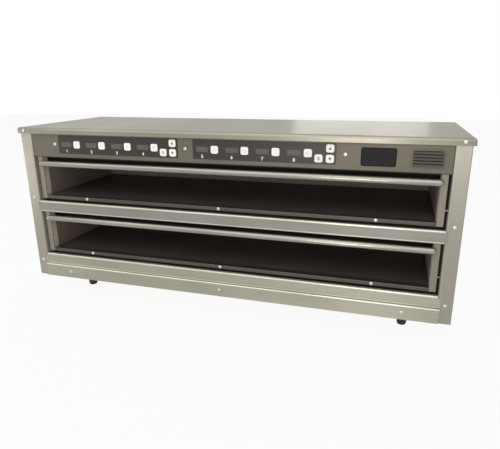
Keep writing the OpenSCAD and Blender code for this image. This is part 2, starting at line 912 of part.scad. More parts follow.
// Printed overlay on the control panel, with openings for its keys
module overlay(g) {
    color(overlay_grey) difference() {
        upright(g, z_overlay, overlay_w, overlay_h, overlay_r, y_overlay, y_panel);
        for (k = group_keys) key_opening(g + k[0], k[1], k[2]);
    }
}

module left_overlay() {
    overlay(groups[0]);
}

module right_overlay() {
    overlay(groups[1]);
}

// Eight four-digit display blocks between overlay and board
module timer_displays() {
    color(black) for (g = groups, i = [0:3])
        upright(g + timer_x(i) - display_offset, z_keys,
                display_w - 2 * cut_clear, display_h - 2 * cut_clear, display_r, y_panel, y_board);
}

// Circuit board with push switches under the keys and four spacers to the panel
module control_board(g) {
    spacer_x = [timer_x(0) - display_offset, timer_x(3)];
    spacer_z = board_h / 2 - spacer_dia / 2;
    color(board_green) {
        span([g - overlay_w / 2, y_board, z_board - board_h / 2],
             [g + overlay_w / 2, y_board + board_t, z_board + board_h / 2]);
        for (k = group_keys)
            span([g + k[0] - push_switch / 2, y_board - push_switch_t, k[1] - push_switch / 2],
                 [g + k[0] + push_switch / 2, y_board, k[1] + push_switch / 2]);
        for (x = spacer_x, s = [-1, 1])
            round_y(g + x, z_board + s * spacer_z, spacer_dia, y_panel_back, y_board);
    }
}

module left_control_board() {
    control_board(groups[0]);
}

module right_control_board() {
    control_board(groups[1]);
}

// Key: a cap with round corners, a rim behind the panel and a stem to its push switch
module key(g, k) {
    rim = k[2] + 2 * key_clear + 2 * key_rim;
    color(white) {
        upright(g + k[0], k[1], k[2], k[2], key_r, key_front, rim_front);
        upright(g + k[0], k[1], rim, rim, key_r + key_clear, rim_front, rim_front + key_rim_t);
        round_y(g + k[0], k[1], key_stem_dia, rim_front + key_rim_t, stem_end);
    }
}

// Shelf over the upper bin that carries the electronics, with tabs behind the panel screws
module control_tray() {
    half = post_in - plate_clear;
    tab_half = screw_head_dia;
    color(steel) difference() {
        union() {
            span([-half, y_panel_back, z_tray], [half, y_back, z_tray + sheet_t]);
            for (p = fascia_screws)
                span([p[0] - tab_half, y_panel_back, z_tray],
                     [p[0] + tab_half, y_panel_back + sheet_t, p[1] + screw_head_dia]);
        }
        screw_holes(fascia_screws, y_panel);
    }
}

// Blank badge plate
module badge_plate() {
    color(black) upright(badge_x, z_badge, badge_w, badge_h, key_r, y_panel - badge_t, y_panel);
}

// Louvred vent over its opening in the control panel
module vent_grille() {
    inner_w = vent_w - 2 * vent_rim;
    inner_h = vent_h - 2 * vent_rim;
    step = inner_h / louvre_count;
    reach = louvre_d / 2 * cos(louvre_tilt) + sheet_t / 2 * sin(louvre_tilt);
    color(panel_grey) {
        difference() {
            upright(vent_x, z_badge, vent_w, vent_h, vent_rim, y_panel - sheet_t, y_panel);
            upright(vent_x, z_badge, inner_w, inner_h, vent_rim / 2,
                    y_panel - sheet_t - over, y_panel + over);
        }
        for (k = [0:louvre_count - 1])
            translate([vent_x, y_panel - reach, z_badge + (k - (louvre_count - 1) / 2) * step])
                rotate([louvre_tilt, 0, 0]) cube([inner_w + vent_rim, louvre_d, sheet_t], center = true);
    }
}

// Frame of the cooling fan, with its bearing on three struts
module fan_frame() {
    rear = y_panel_back + fan_d;
    bore = fan_size - 2 * fan_wall;
    color(black) difference() {
        union() {
            difference() {
                upright(vent_x, z_badge, fan_size, fan_size, fan_wall * 2, y_panel_back, rear);
                round_y(vent_x, z_badge, bore, y_panel_back - over, rear + over);
            }
            round_y(vent_x, z_badge, fan_hub_dia, rear - fan_strut_t, rear);
            for (a = [30, 150, 270])
                translate([vent_x, rear - fan_strut_t, z_badge]) rotate([0, a, 0])
                    translate([0, 0, -fan_strut_w / 2])
                        cube([bore / 2 + fan_wall / 2, fan_strut_t, fan_strut_w]);
        }
        round_y(vent_x, z_badge, fan_shaft_dia + 2 * run_clear, rear - fan_strut_t - over, rear + over);
    }
}

// Rotor of the cooling fan, with its shaft
module fan_rotor() {
    front = y_panel_back + rotor_gap;
    back = y_panel_back + fan_d - fan_strut_t - rotor_gap;
    tip = fan_size - 2 * fan_wall - 2 * blade_clear;
    color(black) {
        round_y(vent_x, z_badge, fan_hub_dia, front, back);
        round_y(vent_x, z_badge, fan_shaft_dia, back, y_panel_back + fan_d);
        intersection() {
            round_y(vent_x, z_badge, tip, front, back);
            translate([vent_x, (front + back) / 2, z_badge])
                for (k = [0:blade_count - 1])
                    rotate([0, k * 360 / blade_count, 0]) rotate([blade_angle, 0, 0])
                        translate([0, -fan_size / 4, -blade_t / 2]) cube([tip, fan_size / 2, blade_t]);
        }
    }
}

// Electrics

// Power inlet with three blades in its recess
module power_inlet() {
    z = z_panel + rear_rise;
    wall = inlet_wall;
    body_half_w = inlet_w / 2 - flange_margin;
    body_half_h = inlet_h / 2 - flange_margin;
    floor_y = y_rear - inlet_d + wall;
    color(black) {
        difference() {
            union() {
                upright(inlet_x, z, inlet_w, inlet_h, key_r, y_rear, y_rear + flange_t);
                span([inlet_x - body_half_w, y_rear - inlet_d, z - body_half_h],
                     [inlet_x + body_half_w, y_rear + flange_t, z + body_half_h]);
            }
            span([inlet_x - body_half_w + wall, floor_y, z - body_half_h + wall],
                 [inlet_x + body_half_w - wall, y_rear + flange_t + over, z + body_half_h - wall]);
        }
        for (k = [-1:1])
            span([inlet_x + k * blade_pitch - inlet_blade_t / 2, floor_y - wall / 2,
                  z - inlet_blade_h / 2 + (k == 0 ? earth_rise : 0)],
                 [inlet_x + k * blade_pitch + inlet_blade_t / 2, y_rear - blade_recess,
                  z + inlet_blade_h / 2 + (k == 0 ? earth_rise : 0)]);
    }
}

// Rocker switch sizes shared by housing and rocker
switch_half_w = switch_w / 2 - flange_margin;
switch_half_h = switch_h / 2 - flange_margin;
switch_end_wall = switch_wall / 4;
z_switch = z_panel + rear_rise;
y_pivot = y_rear + flange_t - pivot_in;

// Housing of the power switch
module switch_housing() {
    color(black) difference() {
        union() {
            upright(switch_x, z_switch, switch_w, switch_h, flange_t, y_rear, y_rear + flange_t);
            span([switch_x - switch_half_w, y_rear - switch_depth, z_switch - switch_half_h],
                 [switch_x + switch_half_w, y_rear + flange_t, z_switch + switch_half_h]);
        }
        span([switch_x - switch_half_w + switch_wall, y_rear - switch_depth + switch_wall,
              z_switch - switch_half_h + switch_end_wall],
             [switch_x + switch_half_w - switch_wall, y_rear + flange_t + over,
              z_switch + switch_half_h - switch_end_wall]);
        translate([switch_x - switch_half_w + switch_wall - pivot_l - rocker_gap, y_pivot, z_switch])
            rotate([0, 90, 0])
                cylinder(d = pivot_dia + 2 * run_clear,
                         h = 2 * (switch_half_w - switch_wall + pivot_l + rocker_gap));
    }
}

// Rocker of the power switch, at rest with its upper half pressed in
module power_rocker() {
    half = switch_half_h - switch_end_wall - rocker_swing;
    slope = half * tan(rocker_tilt);
    ridge = pivot_in + rocker_proud;
    depth = rocker_d;
    wide = switch_half_w - switch_wall - rocker_gap;
    color(black) translate([switch_x, y_pivot, z_switch]) rotate([rocker_tilt, 0, 0]) {
        translate([-wide, 0, 0]) rotate([90, 0, 90]) linear_extrude(2 * wide)
            polygon([[ridge, 0], [ridge - slope, half], [-depth / 2, half], [-depth, half / 2],
                     [-depth, -half / 2], [-depth / 2, -half], [ridge - slope, -half]]);
        translate([-wide - pivot_l, 0, 0]) rotate([0, 90, 0])
            cylinder(d = pivot_dia, h = 2 * (wide + pivot_l));
    }
}

// Power board on the tray: transformer, four relays, two capacitors and four spacers
module power_board() {
    y = y_front + power_board_set;
    z = z_tray + sheet_t;
    lift = board_lift;
    half = power_board_w / 2;
    inset = spacer_dia;
    seat = z + lift + board_t / 2;
    color(board_green) {
        translate([-half, y, z + lift]) cube([power_board_w, power_board_d, board_t]);
        for (x = [-half + inset, half - inset], d = [inset, power_board_d - inset])
            translate([x, y + d, z]) cylinder(d = spacer_dia, h = lift + board_t / 2);
        for (k = [0:3])
            translate([-half + inset + k * (relay[0] + inset), y + 2 * inset, seat])
                cube(relay);
        translate([half - core[0] - 2 * inset, y + power_board_d - core[1] - 2 * inset, seat])
            cube(core);
        for (k = [0, 1])
            translate([-half + (2 * k + 1) * capacitor_dia, y + power_board_d - capacitor_dia, seat])
                cylinder(d = capacitor_dia, h = capacitor_h);
    }
}

// Terminal block on the tray
module terminal_block() {
    x = inlet_x - terminal_w / 2;
    y = y_back - terminal_set;
    z = z_tray + sheet_t;
    step = terminal_w / terminal_ways;
    color(white) difference() {
        translate([x, y, z]) cube([terminal_w, terminal_d, terminal_h]);
        for (k = [0:terminal_ways - 1])
            translate([x + (k + 0.5) * step, y + terminal_d / 2, z + terminal_h / 2])
                cylinder(d = step / 2, h = terminal_h);
    }
}

// Places of the sensors and of the wiring behind the bins
function bin_mid(mouth, mouth_h) = (sill_z(mouth) + ceiling_z(mouth, mouth_h)) / 2;
bin_mids = [bin_mid(z_lower, lower_open_h), bin_mid(z_upper, upper_open_h)];
y_sensor = y_back + sheet_t;
y_loom = y_sensor + sensor_size[1] + loom_dia / 2;

// Temperature sensor blocks on the back of each liner
module bin_sensors() {
    color(bright) for (z = bin_mids, s = [-1, 1])
        span([s * sensor_x - sensor_size[0] / 2, y_sensor, z - sensor_size[2] / 2],
             [s * sensor_x + sensor_size[0] / 2, y_sensor + sensor_size[1], z + sensor_size[2] / 2]);
}

// Disc thermostats that cut the heat off, one on the back of each liner
module high_limit_thermostats() {
    color(bright) for (mid = bin_mids) {
        round_y(0, mid + thermostat_rise, thermostat_flange_dia, y_sensor, y_sensor + thermostat_flange_t);
        round_y(0, mid + thermostat_rise, thermostat_dia, y_sensor, y_sensor + thermostat_h);
    }
}

// Wiring: a trunk up the back, forward over the tray to the power board, and a lead along each bin
module wiring_loom() {
    z_run = z_tray + sheet_t + loom_dia / 2;
    x_end = power_board_w / 2;
    board_mid = y_front + power_board_set + power_board_d / 2;
    color(black) {
        translate([loom_x, y_loom, bin_mids[0]]) cylinder(d = loom_dia, h = z_run - bin_mids[0]);
        translate([loom_x, y_loom, z_run]) sphere(d = loom_dia);
        round_y(loom_x, z_run, loom_dia, board_mid, y_loom);
        translate([loom_x, board_mid, z_run]) sphere(d = loom_dia);
        translate([x_end, board_mid, z_run]) rotate([0, 90, 0])
            cylinder(d = loom_dia, h = loom_x - x_end);
        for (z = bin_mids)
            translate([-sensor_x, y_sensor + sensor_size[1] + lead_dia / 2, z]) rotate([0, 90, 0])
                cylinder(d = lead_dia, h = loom_x + sensor_x);
    }
}

// Fasteners

// All screws whose heads look to the front
module front_screws() {
    color(bright) {
        screws(plinth_screws, y_plinth);
        screws(post_screws, y_front);
        screws(lid_screws, y_front - lid_overhang);
        screws(fascia_screws, y_panel);
        screws(sill_screws(z_upper), y_frame);
        screws(sill_screws(z_lower), y_frame);
    }
}

// Screws of the rear panel and of the lid's rear lip
module rear_screws() {
    color(bright) mirror([0, 1, 0]) {
        screws(rear_panel_screws, y_front);
        screws(lid_screws, y_front - lid_overhang);
    }
}

base_pan();
plinth_panel();
bottom_rail();
mid_rail();
side_panel_left();
side_panel_right();
rear_panel();
top_cover();
control_panel();
control_tray();
vent_grille();
badge_plate();
left_overlay();
right_overlay();
timer_displays();
left_control_board();
right_control_board();
upper_bin_wrap();
upper_bin_floor();
upper_bin_ceiling();
upper_front_frame();
upper_bar();
lower_bin_wrap();
lower_bin_floor();
lower_bin_ceiling();
lower_front_frame();
lower_bar();
floor_heaters();
ceiling_heaters();
top_insulation();
middle_insulation();
floor_insulation();
side_insulation();
bin_sensors();
high_limit_thermostats();
power_board();
terminal_block();
fan_frame();
fan_rotor();
power_inlet();
switch_housing();
power_rocker();
feet();
front_screws();
rear_screws();
wiring_loom();
key(groups[0], group_keys[0]);  // timer_key_1
key(groups[0], group_keys[1]);  // timer_key_2
key(groups[0], group_keys[2]);  // timer_key_3
key(groups[0], group_keys[3]);  // timer_key_4
key(groups[1], group_keys[0]);  // timer_key_5
key(groups[1], group_keys[1]);  // timer_key_6
key(groups[1], group_keys[2]);  // timer_key_7
key(groups[1], group_keys[3]);  // timer_key_8
key(groups[0], group_keys[4]);  // left_up_key
key(groups[0], group_keys[5]);  // left_down_key
key(groups[0], group_keys[6]);  // left_program_key
key(groups[1], group_keys[4]);  // right_up_key
key(groups[1], group_keys[5]);  // right_down_key
key(groups[1], group_keys[6]);  // right_program_key
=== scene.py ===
import math

import bmesh
import bpy
from mathutils import Matrix, Vector


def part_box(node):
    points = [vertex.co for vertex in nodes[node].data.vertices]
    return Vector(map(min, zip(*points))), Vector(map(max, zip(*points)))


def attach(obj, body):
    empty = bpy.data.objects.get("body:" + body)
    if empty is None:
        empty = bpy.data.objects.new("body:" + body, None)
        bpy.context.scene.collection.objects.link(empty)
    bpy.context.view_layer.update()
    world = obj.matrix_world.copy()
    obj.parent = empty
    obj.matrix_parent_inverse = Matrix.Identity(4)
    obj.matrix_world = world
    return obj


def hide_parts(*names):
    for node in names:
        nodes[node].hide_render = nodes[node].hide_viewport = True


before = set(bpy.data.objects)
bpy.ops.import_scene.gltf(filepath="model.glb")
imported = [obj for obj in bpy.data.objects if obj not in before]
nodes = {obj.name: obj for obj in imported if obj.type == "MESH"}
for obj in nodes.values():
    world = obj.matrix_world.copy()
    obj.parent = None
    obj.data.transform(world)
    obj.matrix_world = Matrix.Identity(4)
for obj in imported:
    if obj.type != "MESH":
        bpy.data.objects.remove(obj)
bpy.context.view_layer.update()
scene = bpy.context.scene
MM = 0.001

# Camera
# A plain lens in front of the cabinet, right of its middle and above it, with the whole width in view.
# Its place is given from the front of the cabinet, at the level of the posts' lower ends.
IMAGE_W = 500
FOCAL_PX = 471.1
SENSOR_MM = 36.0
YAW, PITCH, ROLL = (math.radians(a) for a in (17.0, 17.1, -0.51))
CAMERA_PLACE = Vector((367.0, -951.8, 488.8))


def box_mm(node):
    """Lowest and highest corner of a CAD node in millimetres."""
    low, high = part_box(node)
    return low / MM, high / MM


post_low, post_high = box_mm("side_panel_right")
eye = bpy.data.cameras.new("eye")
eye.sensor_width = SENSOR_MM
eye.lens = FOCAL_PX / IMAGE_W * SENSOR_MM
eye.clip_start = 0.01
eye_object = bpy.data.objects.new("eye", eye)
eye_at = (CAMERA_PLACE + Vector((0, post_low.y, post_low.z))) * MM
eye_turn = (Matrix.Rotation(YAW, 4, "Z") @ Matrix.Rotation(math.pi / 2 - PITCH, 4, "X")
            @ Matrix.Rotation(ROLL, 4, "Z"))
eye_object.matrix_world = Matrix.Translation(eye_at) @ eye_turn
scene.collection.objects.link(eye_object)
scene.camera = eye_object

# Studio
# Pale floor and white surroundings, broad soft lamps overhead and in front, weak ones beside and behind,
# and a small one low in front for the glints on bars and bends.
# They light the cabinet at a plain level, and brushed metal draws the smaller ones out into soft bands.
scene.view_settings.view_transform = "Standard"
FLOOR_HALF = 6000
FLOOR_WHITE = 0.93
SKY_LIGHT = 0.45


def linear(hex_colour):
    """sRGB hex, such as "c8c4b4", as linear red, green, blue and alpha."""
    parts = [int(hex_colour[i:i + 2], 16) / 255 for i in (0, 2, 4)]
    return tuple(c / 12.92 if c <= 0.04045 else ((c + 0.055) / 1.055) ** 2.4 for c in parts) + (1.0,)


def add(tree, kind, settings=None, inputs=None):
    """Adds a node, sets its properties, and sets or links its inputs, given by name or number."""
    made = tree.nodes.new(kind)
    for key, value in (settings or {}).items():
        setattr(made, key, value)
    for key, value in (inputs or {}).items():
        if isinstance(value, bpy.types.NodeSocket):
            tree.links.new(value, made.inputs[key])
        else:
            made.inputs[key].default_value = value
    return made


def seen_rays(tree):
    """Socket that is 1 for what is seen, also in metal and glass, and 0 for what only lights the cabinet."""
    rays = add(tree, "ShaderNodeLightPath").outputs
    seen = add(tree, "ShaderNodeMath", {"operation": "MAXIMUM"},
               {0: rays["Is Camera Ray"], 1: rays["Is Glossy Ray"]})
    return add(tree, "ShaderNodeMath", {"operation": "MAXIMUM"},
               {0: seen.outputs[0], 1: rays["Is Transmission Ray"]}).outputs[0]


world = bpy.data.worlds.new("studio")
scene.world = world
world.use_nodes = True
sky = world.node_tree
sky.nodes.clear()
soft = add(sky, "ShaderNodeBackground", None, {"Color": linear("f7f6f1"), "Strength": SKY_LIGHT})
white = add(sky, "ShaderNodeBackground", None, {"Color": linear("ffffff"), "Strength": 1.0})
sky_mix = add(sky, "ShaderNodeMixShader", None, {0: seen_rays(sky), 1: soft.outputs[0], 2: white.outputs[0]})
add(sky, "ShaderNodeOutputWorld", None, {"Surface": sky_mix.outputs[0]})


def lamp(name, place, aim, width, depth, watts, colour):
    """Wide soft lamp that looks at a point."""
    light = bpy.data.lights.new(name, "AREA")
    light.shape = "RECTANGLE"
    light.size = width
    light.size_y = depth
    light.energy = watts
    light.color = linear(colour)[:3]
    made = bpy.data.objects.new(name, light)
    look = (Vector(aim) - Vector(place)).to_track_quat("-Z", "Y")
    made.matrix_world = Matrix.Translation(place) @ look.to_matrix().to_4x4()
    scene.collection.objects.link(made)


lamp("overhead", (-0.8, -1.45, 2.2), (-0.8, -0.2, 0.25), 3.6, 1.8, 31, "fffcf7")
lamp("front", (0.24, -2.8, 1.3), (0.2, 0, 0.3), 2.8, 1.5, 11, "fffdfa")
lamp("glint", (0.24, -2.8, 0.22), (0.2, 0, 0.3), 0.5, 0.4, 10.5, "fffdfa")
lamp("side", (-1.4, -0.62, 0.2), (-0.5, -0.17, 0.25), 0.3, 0.36, 2.2, "fffdfa")
lamp("rear", (0.1, 2.6, 0.75), (0.1, 0, 0.4), 1.0, 0.7, 6.5, "fffdfa")


def new_piece(name, build, smooth=40):
    """Object at the origin whose mesh is built in millimetres by build(bm), with closed outward faces."""
    bm = bmesh.new()
    build(bm)
    bmesh.ops.scale(bm, vec=(MM, MM, MM), verts=bm.verts)
    bmesh.ops.recalc_face_normals(bm, faces=bm.faces)
    mesh = bpy.data.meshes.new(name)
    bm.to_mesh(mesh)
    bm.free()
    made = bpy.data.objects.new(name, mesh)
    scene.collection.objects.link(made)
    mesh.shade_smooth()
    mesh.set_sharp_from_angle(angle=math.radians(smooth))
    return made


# Matt pale paint: white to the camera and in metal, and it keeps the soft shadow under the cabinet.
floor_paint = bpy.data.materials.new("matt_floor_paint")
floor_paint.use_nodes = True
floor_tree = floor_paint.node_tree
floor_tree.nodes.clear()
floor_seen = add(floor_tree, "ShaderNodeMath", {"operation": "MULTIPLY"},
                 {0: seen_rays(floor_tree), 1: FLOOR_WHITE})
floor_matt = add(floor_tree, "ShaderNodeBsdfDiffuse", None, {"Color": linear("f4f4f2")})
floor_glow = add(floor_tree, "ShaderNodeEmission", None, {"Color": linear("ffffff"), "Strength": 1.0})
floor_mix = add(floor_tree, "ShaderNodeMixShader", None,
                {0: floor_seen.outputs[0], 1: floor_matt.outputs[0], 2: floor_glow.outputs[0]})
add(floor_tree, "ShaderNodeOutputMaterial", None, {"Surface": floor_mix.outputs[0]})
floor = new_piece("floor", lambda bm: bmesh.ops.create_grid(bm, x_segments=1, y_segments=1, size=FLOOR_HALF))
floor.data.materials.append(floor_paint)

# Feet
# Four black rubber feet moulded round a steel stud, screwed up into the weld nuts of the base pan.
# Each tapers towards the floor and has shallow ribs round it and a soft lower edge.
FOOT_TOP_R = 13.0
FOOT_TIP_R = 10.5
FOOT_H = 58.0
FOOT_EDGE = 4.0
STUD_R = 4.0
STUD_L = 11.0
RIBS = 9
RIB_FIRST = 7.9
RIB_STEP = 5.4
RIB_DEPTH = 0.5
GROOVE = ((0, -1.2), (1, -0.7), (1, 0.1), (0, 0.6))
NOISE_LOW, NOISE_HIGH = 0.25, 0.75
SHEEN_SPREAD = 0.18
BUMP_STRENGTH = 0.6
BRUSH_STRETCH = 0.75


def finish_of(name, hex_colour, grain_mm, metal=0.0, rough=0.5, tone=0.1, relief=0.02,
              cloud_mm=(150, 150, 150), cloud=0.05, gloss=0.5, brushed=None):
    """Material with a grain and a soft clouding of given sizes along X, Y and Z, and relief in millimetres.
    A brushed metal, with the axis of its brush lines given, stretches reflections across those lines."""
    material = bpy.data.materials.new(name)
    material.use_nodes = True
    tree = material.node_tree
    tree.nodes.clear()
    where = add(tree, "ShaderNodeTexCoord").outputs["Object"]
    fine_at, broad_at = (add(tree, "ShaderNodeVectorMath", {"operation": "MULTIPLY"},
                             {0: where, 1: tuple(1 / (g * MM) for g in size)}).outputs[0]
                         for size in (grain_mm, cloud_mm))
    grain, drift = (add(tree, "ShaderNodeTexNoise", None,
                        {"Vector": at, "Scale": 1.0, "Detail": detail}).outputs["Fac"]
                    for at, detail in ((fine_at, 3.0), (broad_at, 1.0)))
    fine, broad, sheen = (add(tree, "ShaderNodeMapRange", None,
                              {0: noise, 1: NOISE_LOW, 2: NOISE_HIGH, 3: least, 4: most}).outputs[0]
                          for noise, least, most in (
                              (grain, 1 - tone, 1 + tone), (drift, 1 - cloud, 1 + cloud),
                              (grain, rough * (1 - SHEEN_SPREAD), min(rough * (1 + SHEEN_SPREAD), 1.0))))
    both = add(tree, "ShaderNodeMath", {"operation": "MULTIPLY"}, {0: fine, 1: broad}).outputs[0]
    colour = add(tree, "ShaderNodeMix", {"data_type": "RGBA", "blend_type": "MULTIPLY"},
                 {0: 1.0, 6: linear(hex_colour), 7: both}).outputs[2]
    bump = add(tree, "ShaderNodeBump", None,
               {"Strength": BUMP_STRENGTH, "Distance": relief * MM, "Height": grain}).outputs[0]
    shader = add(tree, "ShaderNodeBsdfPrincipled", None,
                 {"Base Color": colour, "Metallic": metal, "Roughness": sheen, "Normal": bump,
                  "Specular IOR Level": gloss})
    if brushed:
        across_grain = add(tree, "ShaderNodeTangent", {"direction_type": "RADIAL", "axis": brushed})
        shader.inputs["Anisotropic"].default_value = BRUSH_STRETCH
        tree.links.new(across_grain.outputs[0], shader.inputs["Tangent"])
    add(tree, "ShaderNodeOutputMaterial", None, {"Surface": shader.outputs[0]})
    return material


def quarter(steps):
    """Angles of a quarter turn, both ends included."""
    return [math.pi / 2 * k / steps for k in range(steps + 1)]


def full_turn(steps):
    """Angles round a full turn, each once."""
    return [2 * math.pi * k / steps for k in range(steps)]


def lathe(bm, profile, steps=40):
    """Closed form turned about the upright axis; the profile runs from axis to axis as radius and height."""
    rings = []
    for r, z in profile:
        if r == 0:
            rings.append([bm.verts.new((0, 0, z))])
        else:
            rings.append([bm.verts.new((r * math.cos(a), r * math.sin(a), z)) for a in full_turn(steps)])
    for low, high in zip(rings, rings[1:]):
        for k in range(steps):
            n = (k + 1) % steps
            corners = [low[k % len(low)], low[n % len(low)], high[n % len(high)], high[k % len(high)]]
            bm.faces.new(list(dict.fromkeys(corners)))
    return rings


def foot(bm):
    """One ribbed foot with its stud, standing at the origin."""
    edge = [(1 - math.sin(a), 1 - math.cos(a)) for a in quarter(6)]
    profile = [(0, 0)] + [(FOOT_TIP_R - FOOT_EDGE * inset, FOOT_EDGE * rise) for inset, rise in edge]
    for k in range(RIBS):
        z = RIB_FIRST + k * RIB_STEP
        r = FOOT_TIP_R + (FOOT_TOP_R - FOOT_TIP_R) * z / FOOT_H
        profile += [(r - RIB_DEPTH * sunk, z + rise) for sunk, rise in GROOVE]
    profile += [(FOOT_TOP_R, FOOT_H), (STUD_R, FOOT_H), (STUD_R, FOOT_H + STUD_L), (0, FOOT_H + STUD_L)]
    lathe(bm, profile)


def set_tree():
    """Geometry nodes that set a piece on each point, facing one way and turned at random up to a limit."""
    tree = bpy.data.node_groups.new("piece_set", "GeometryNodeTree")
    for name, kind in (("Geometry", "Geometry"), ("Piece", "Object"), ("Facing", "Float"), ("Turn", "Float"),
                       ("Seed", "Int"), ("Material", "Material")):
        tree.interface.new_socket(name, in_out="INPUT", socket_type="NodeSocket" + kind)
    tree.interface.new_socket("Geometry", in_out="OUTPUT", socket_type="NodeSocketGeometry")
    given = add(tree, "NodeGroupInput").outputs
    shape = add(tree, "GeometryNodeObjectInfo", None, {"Object": given["Piece"]})
    turn = add(tree, "FunctionNodeRandomValue", {"data_type": "FLOAT"},
               {2: 0.0, 3: given["Turn"], "Seed": given["Seed"]})
    way = add(tree, "ShaderNodeCombineXYZ", None, {1: turn.outputs[1], 2: given["Facing"]})
    spread = add(tree, "GeometryNodeInstanceOnPoints", None,
                 {"Points": given["Geometry"], "Instance": shape.outputs["Geometry"],
                  "Rotation": way.outputs[0]})
    real = add(tree, "GeometryNodeRealizeInstances", None, {"Geometry": spread.outputs[0]})
    painted = add(tree, "GeometryNodeSetMaterial", None,
                  {"Geometry": real.outputs[0], "Material": given["Material"]})
    add(tree, "NodeGroupOutput", None, {"Geometry": painted.outputs[0]})
    return tree


def grown(name, holder, tree, values):
    """Plain mesh object made by a node tree on a holder object, with inputs given by name."""
    modifier = holder.modifiers.new("grow", "NODES")
    modifier.node_group = tree
    for item in tree.interface.items_tree:
        if item.name in values:
            modifier[item.identifier] = values[item.name]
    bpy.context.view_layer.update()
    shape = bpy.data.meshes.new_from_object(holder.evaluated_get(bpy.context.evaluated_depsgraph_get()))
    bpy.data.objects.remove(holder)
    made = bpy.data.objects.new(name, shape)
    shape.name = name
    scene.collection.objects.link(made)
    return made


piece_set = set_tree()


def set_out(name, build, places, material, smooth=40, facing=0.0, turn=0.0, seed=0):
    """One piece repeated at every place, as a plain mesh."""
    one = new_piece("one_piece", build, smooth)
    holder = new_piece("places", lambda bm: [bm.verts.new(p) for p in places])
    made = grown(name, holder, piece_set, {"Piece": one, "Facing": facing, "Turn": turn, "Seed": seed,
                                           "Material": material})
    bpy.data.objects.remove(one)
    return made


# Moulded rubber: almost black, with a dull and slightly uneven skin.
rubber = finish_of("moulded_rubber", "1a1a1b", (2, 2, 2), 0, 0.62, 0.18, 0.05)
feet_low, feet_high = box_mm("feet")
foot_places = [(x, y, 0) for x in (feet_low.x + FOOT_TOP_R, feet_high.x - FOOT_TOP_R)
               for y in (feet_low.y + FOOT_TOP_R, feet_high.y - FOOT_TOP_R)]
feet_piece = set_out("rubber_feet", foot, foot_places, rubber, 30)
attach(feet_piece, "cabinet")
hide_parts("feet")

# Base pan and rear panel
# Stainless sheet, folded: a floor tray that carries the bins, and a flat rear panel with air slots.
# The pan hangs between the side panels, and the rear panel is screwed to their rear folds.


def dress(material, *names):
    """Gives CAD nodes that keep their shape a finish."""
    for name in names:
        for place in nodes[name].material_slots:
            place.material = material


# Brushed stainless: soft grey, with lines that draw reflections out across them. Real brush lines are far
# finer than a millimetre; here and on the other brushed sheets they are coarser, so that they show.
stainless = finish_of("brushed_stainless", "9c9a8c", (260, 1.6, 1.6), 0.6, 0.38, 0.06, 0.004,
                      (160, 60, 60), 0.08, brushed="X")
# The same sheet with its brush lines upright, so that its streaks follow the posts and sides.
stainless_up = finish_of("brushed_stainless_upright", "9d9a8e", (1.6, 1.6, 260), 0.6, 0.38, 0.06, 0.004,
                         (140, 140, 420), 0.06, brushed="Z")
dress(stainless, "base_pan", "rear_panel", "control_tray")

# Side panels
# Each side is one folded stainless sheet: a rear fold, the side, the front post and the post's return.
# They carry the rails, the base pan and the lid, and their cut edges are plain.
SHEET = 1.2
POST_W = 30.0
POST_RETURN = 22.0
REAR_FOLD = 16.2
TOP_FOLD = 15.0
POST_BEND = 2.2
FOLD_GAP = 1.0
BEND_STEPS = 6


def fold_lines(points, radius, ease):
    """Both faces of a folded sheet as lines of points: the right-hand one runs through the given corners."""
    corners = [Vector(p) for p in points]
    ways = [(b - a).normalized() for a, b in zip(corners, corners[1:])]
    sides = [Vector((-w.y, w.x)) for w in ways]
    lines = []
    for offset in (0, SHEET):
        line = [corners[0] + sides[0] * offset]
        for i in range(1, len(corners) - 1):
            before, after = ways[i - 1], ways[i]
            turn = before.x * after.y - before.y * after.x
            angle = before.angle(after)
            corner = corners[i] + (sides[i - 1] + sides[i]) * (offset / (1 + sides[i - 1].dot(sides[i])))
            r = radius if (turn > 0) == (offset == 0) else max(radius - SHEET, 0.1)
            cut = r * math.tan(angle / 2)
            sign = 1 if turn > 0 else -1
            start = corner - before * cut
            centre = start + Vector((-before.y, before.x)) * (sign * r)
            line.append(start - before * ease)
            for k in range(BEND_STEPS + 1):
                spoke = start - centre
                spoke.rotate(Matrix.Rotation(sign * angle * k / BEND_STEPS, 2))
                line.append(centre + spoke)
            line.append(corner + after * (cut + ease))
        line.append(corners[-1] + sides[-1] * offset)
        lines.append(line)
    return lines


def folded(bm, points, radius, place, low, high, ease=0.8, second=()):
    """Folded sheet swept from low to high; place(u, v, w) turns a section point into a corner.
    The parts named in second, the bends or flats by number, take the piece's second finish."""
    outer, inner = fold_lines(points, radius, ease)
    (a0, a1), (b0, b1) = ([[bm.verts.new(place(p.x, p.y, w)) for p in line] for w in (low, high)]
                          for line in (outer, inner))
    for i in range(len(outer) - 1):
        j = i + 1
        part = "bends" if i % (BEND_STEPS + 3) else i // (BEND_STEPS + 3)
        for corners in ((a0[i], a0[j], a1[j], a1[i]), (b0[i], b1[i], b1[j], b0[j]),
                        (a0[i], b0[i], b0[j], a0[j]), (a1[i], a1[j], b1[j], b1[i])):
            bm.faces.new(corners).material_index = int(part in second)
    bm.faces.new((a0[0], a1[0], b1[0], b0[0]))
    bm.faces.new((a0[-1], b0[-1], b1[-1], a1[-1]))


def plate(bm, low, high, edge=0.25):
    """Flat plate between two corners, with its edges broken."""
    cube = bmesh.ops.create_cube(bm, size=1.0)["verts"]
    low, high = Vector(low), Vector(high)
    bmesh.ops.scale(bm, vec=high - low, verts=cube)
    bmesh.ops.translate(bm, vec=(low + high) / 2, verts=cube)
    edges = list({e for v in cube for e in v.link_edges})
    bmesh.ops.bevel(bm, geom=edges, offset=edge, segments=2, affect="EDGES", clamp_overlap=True)


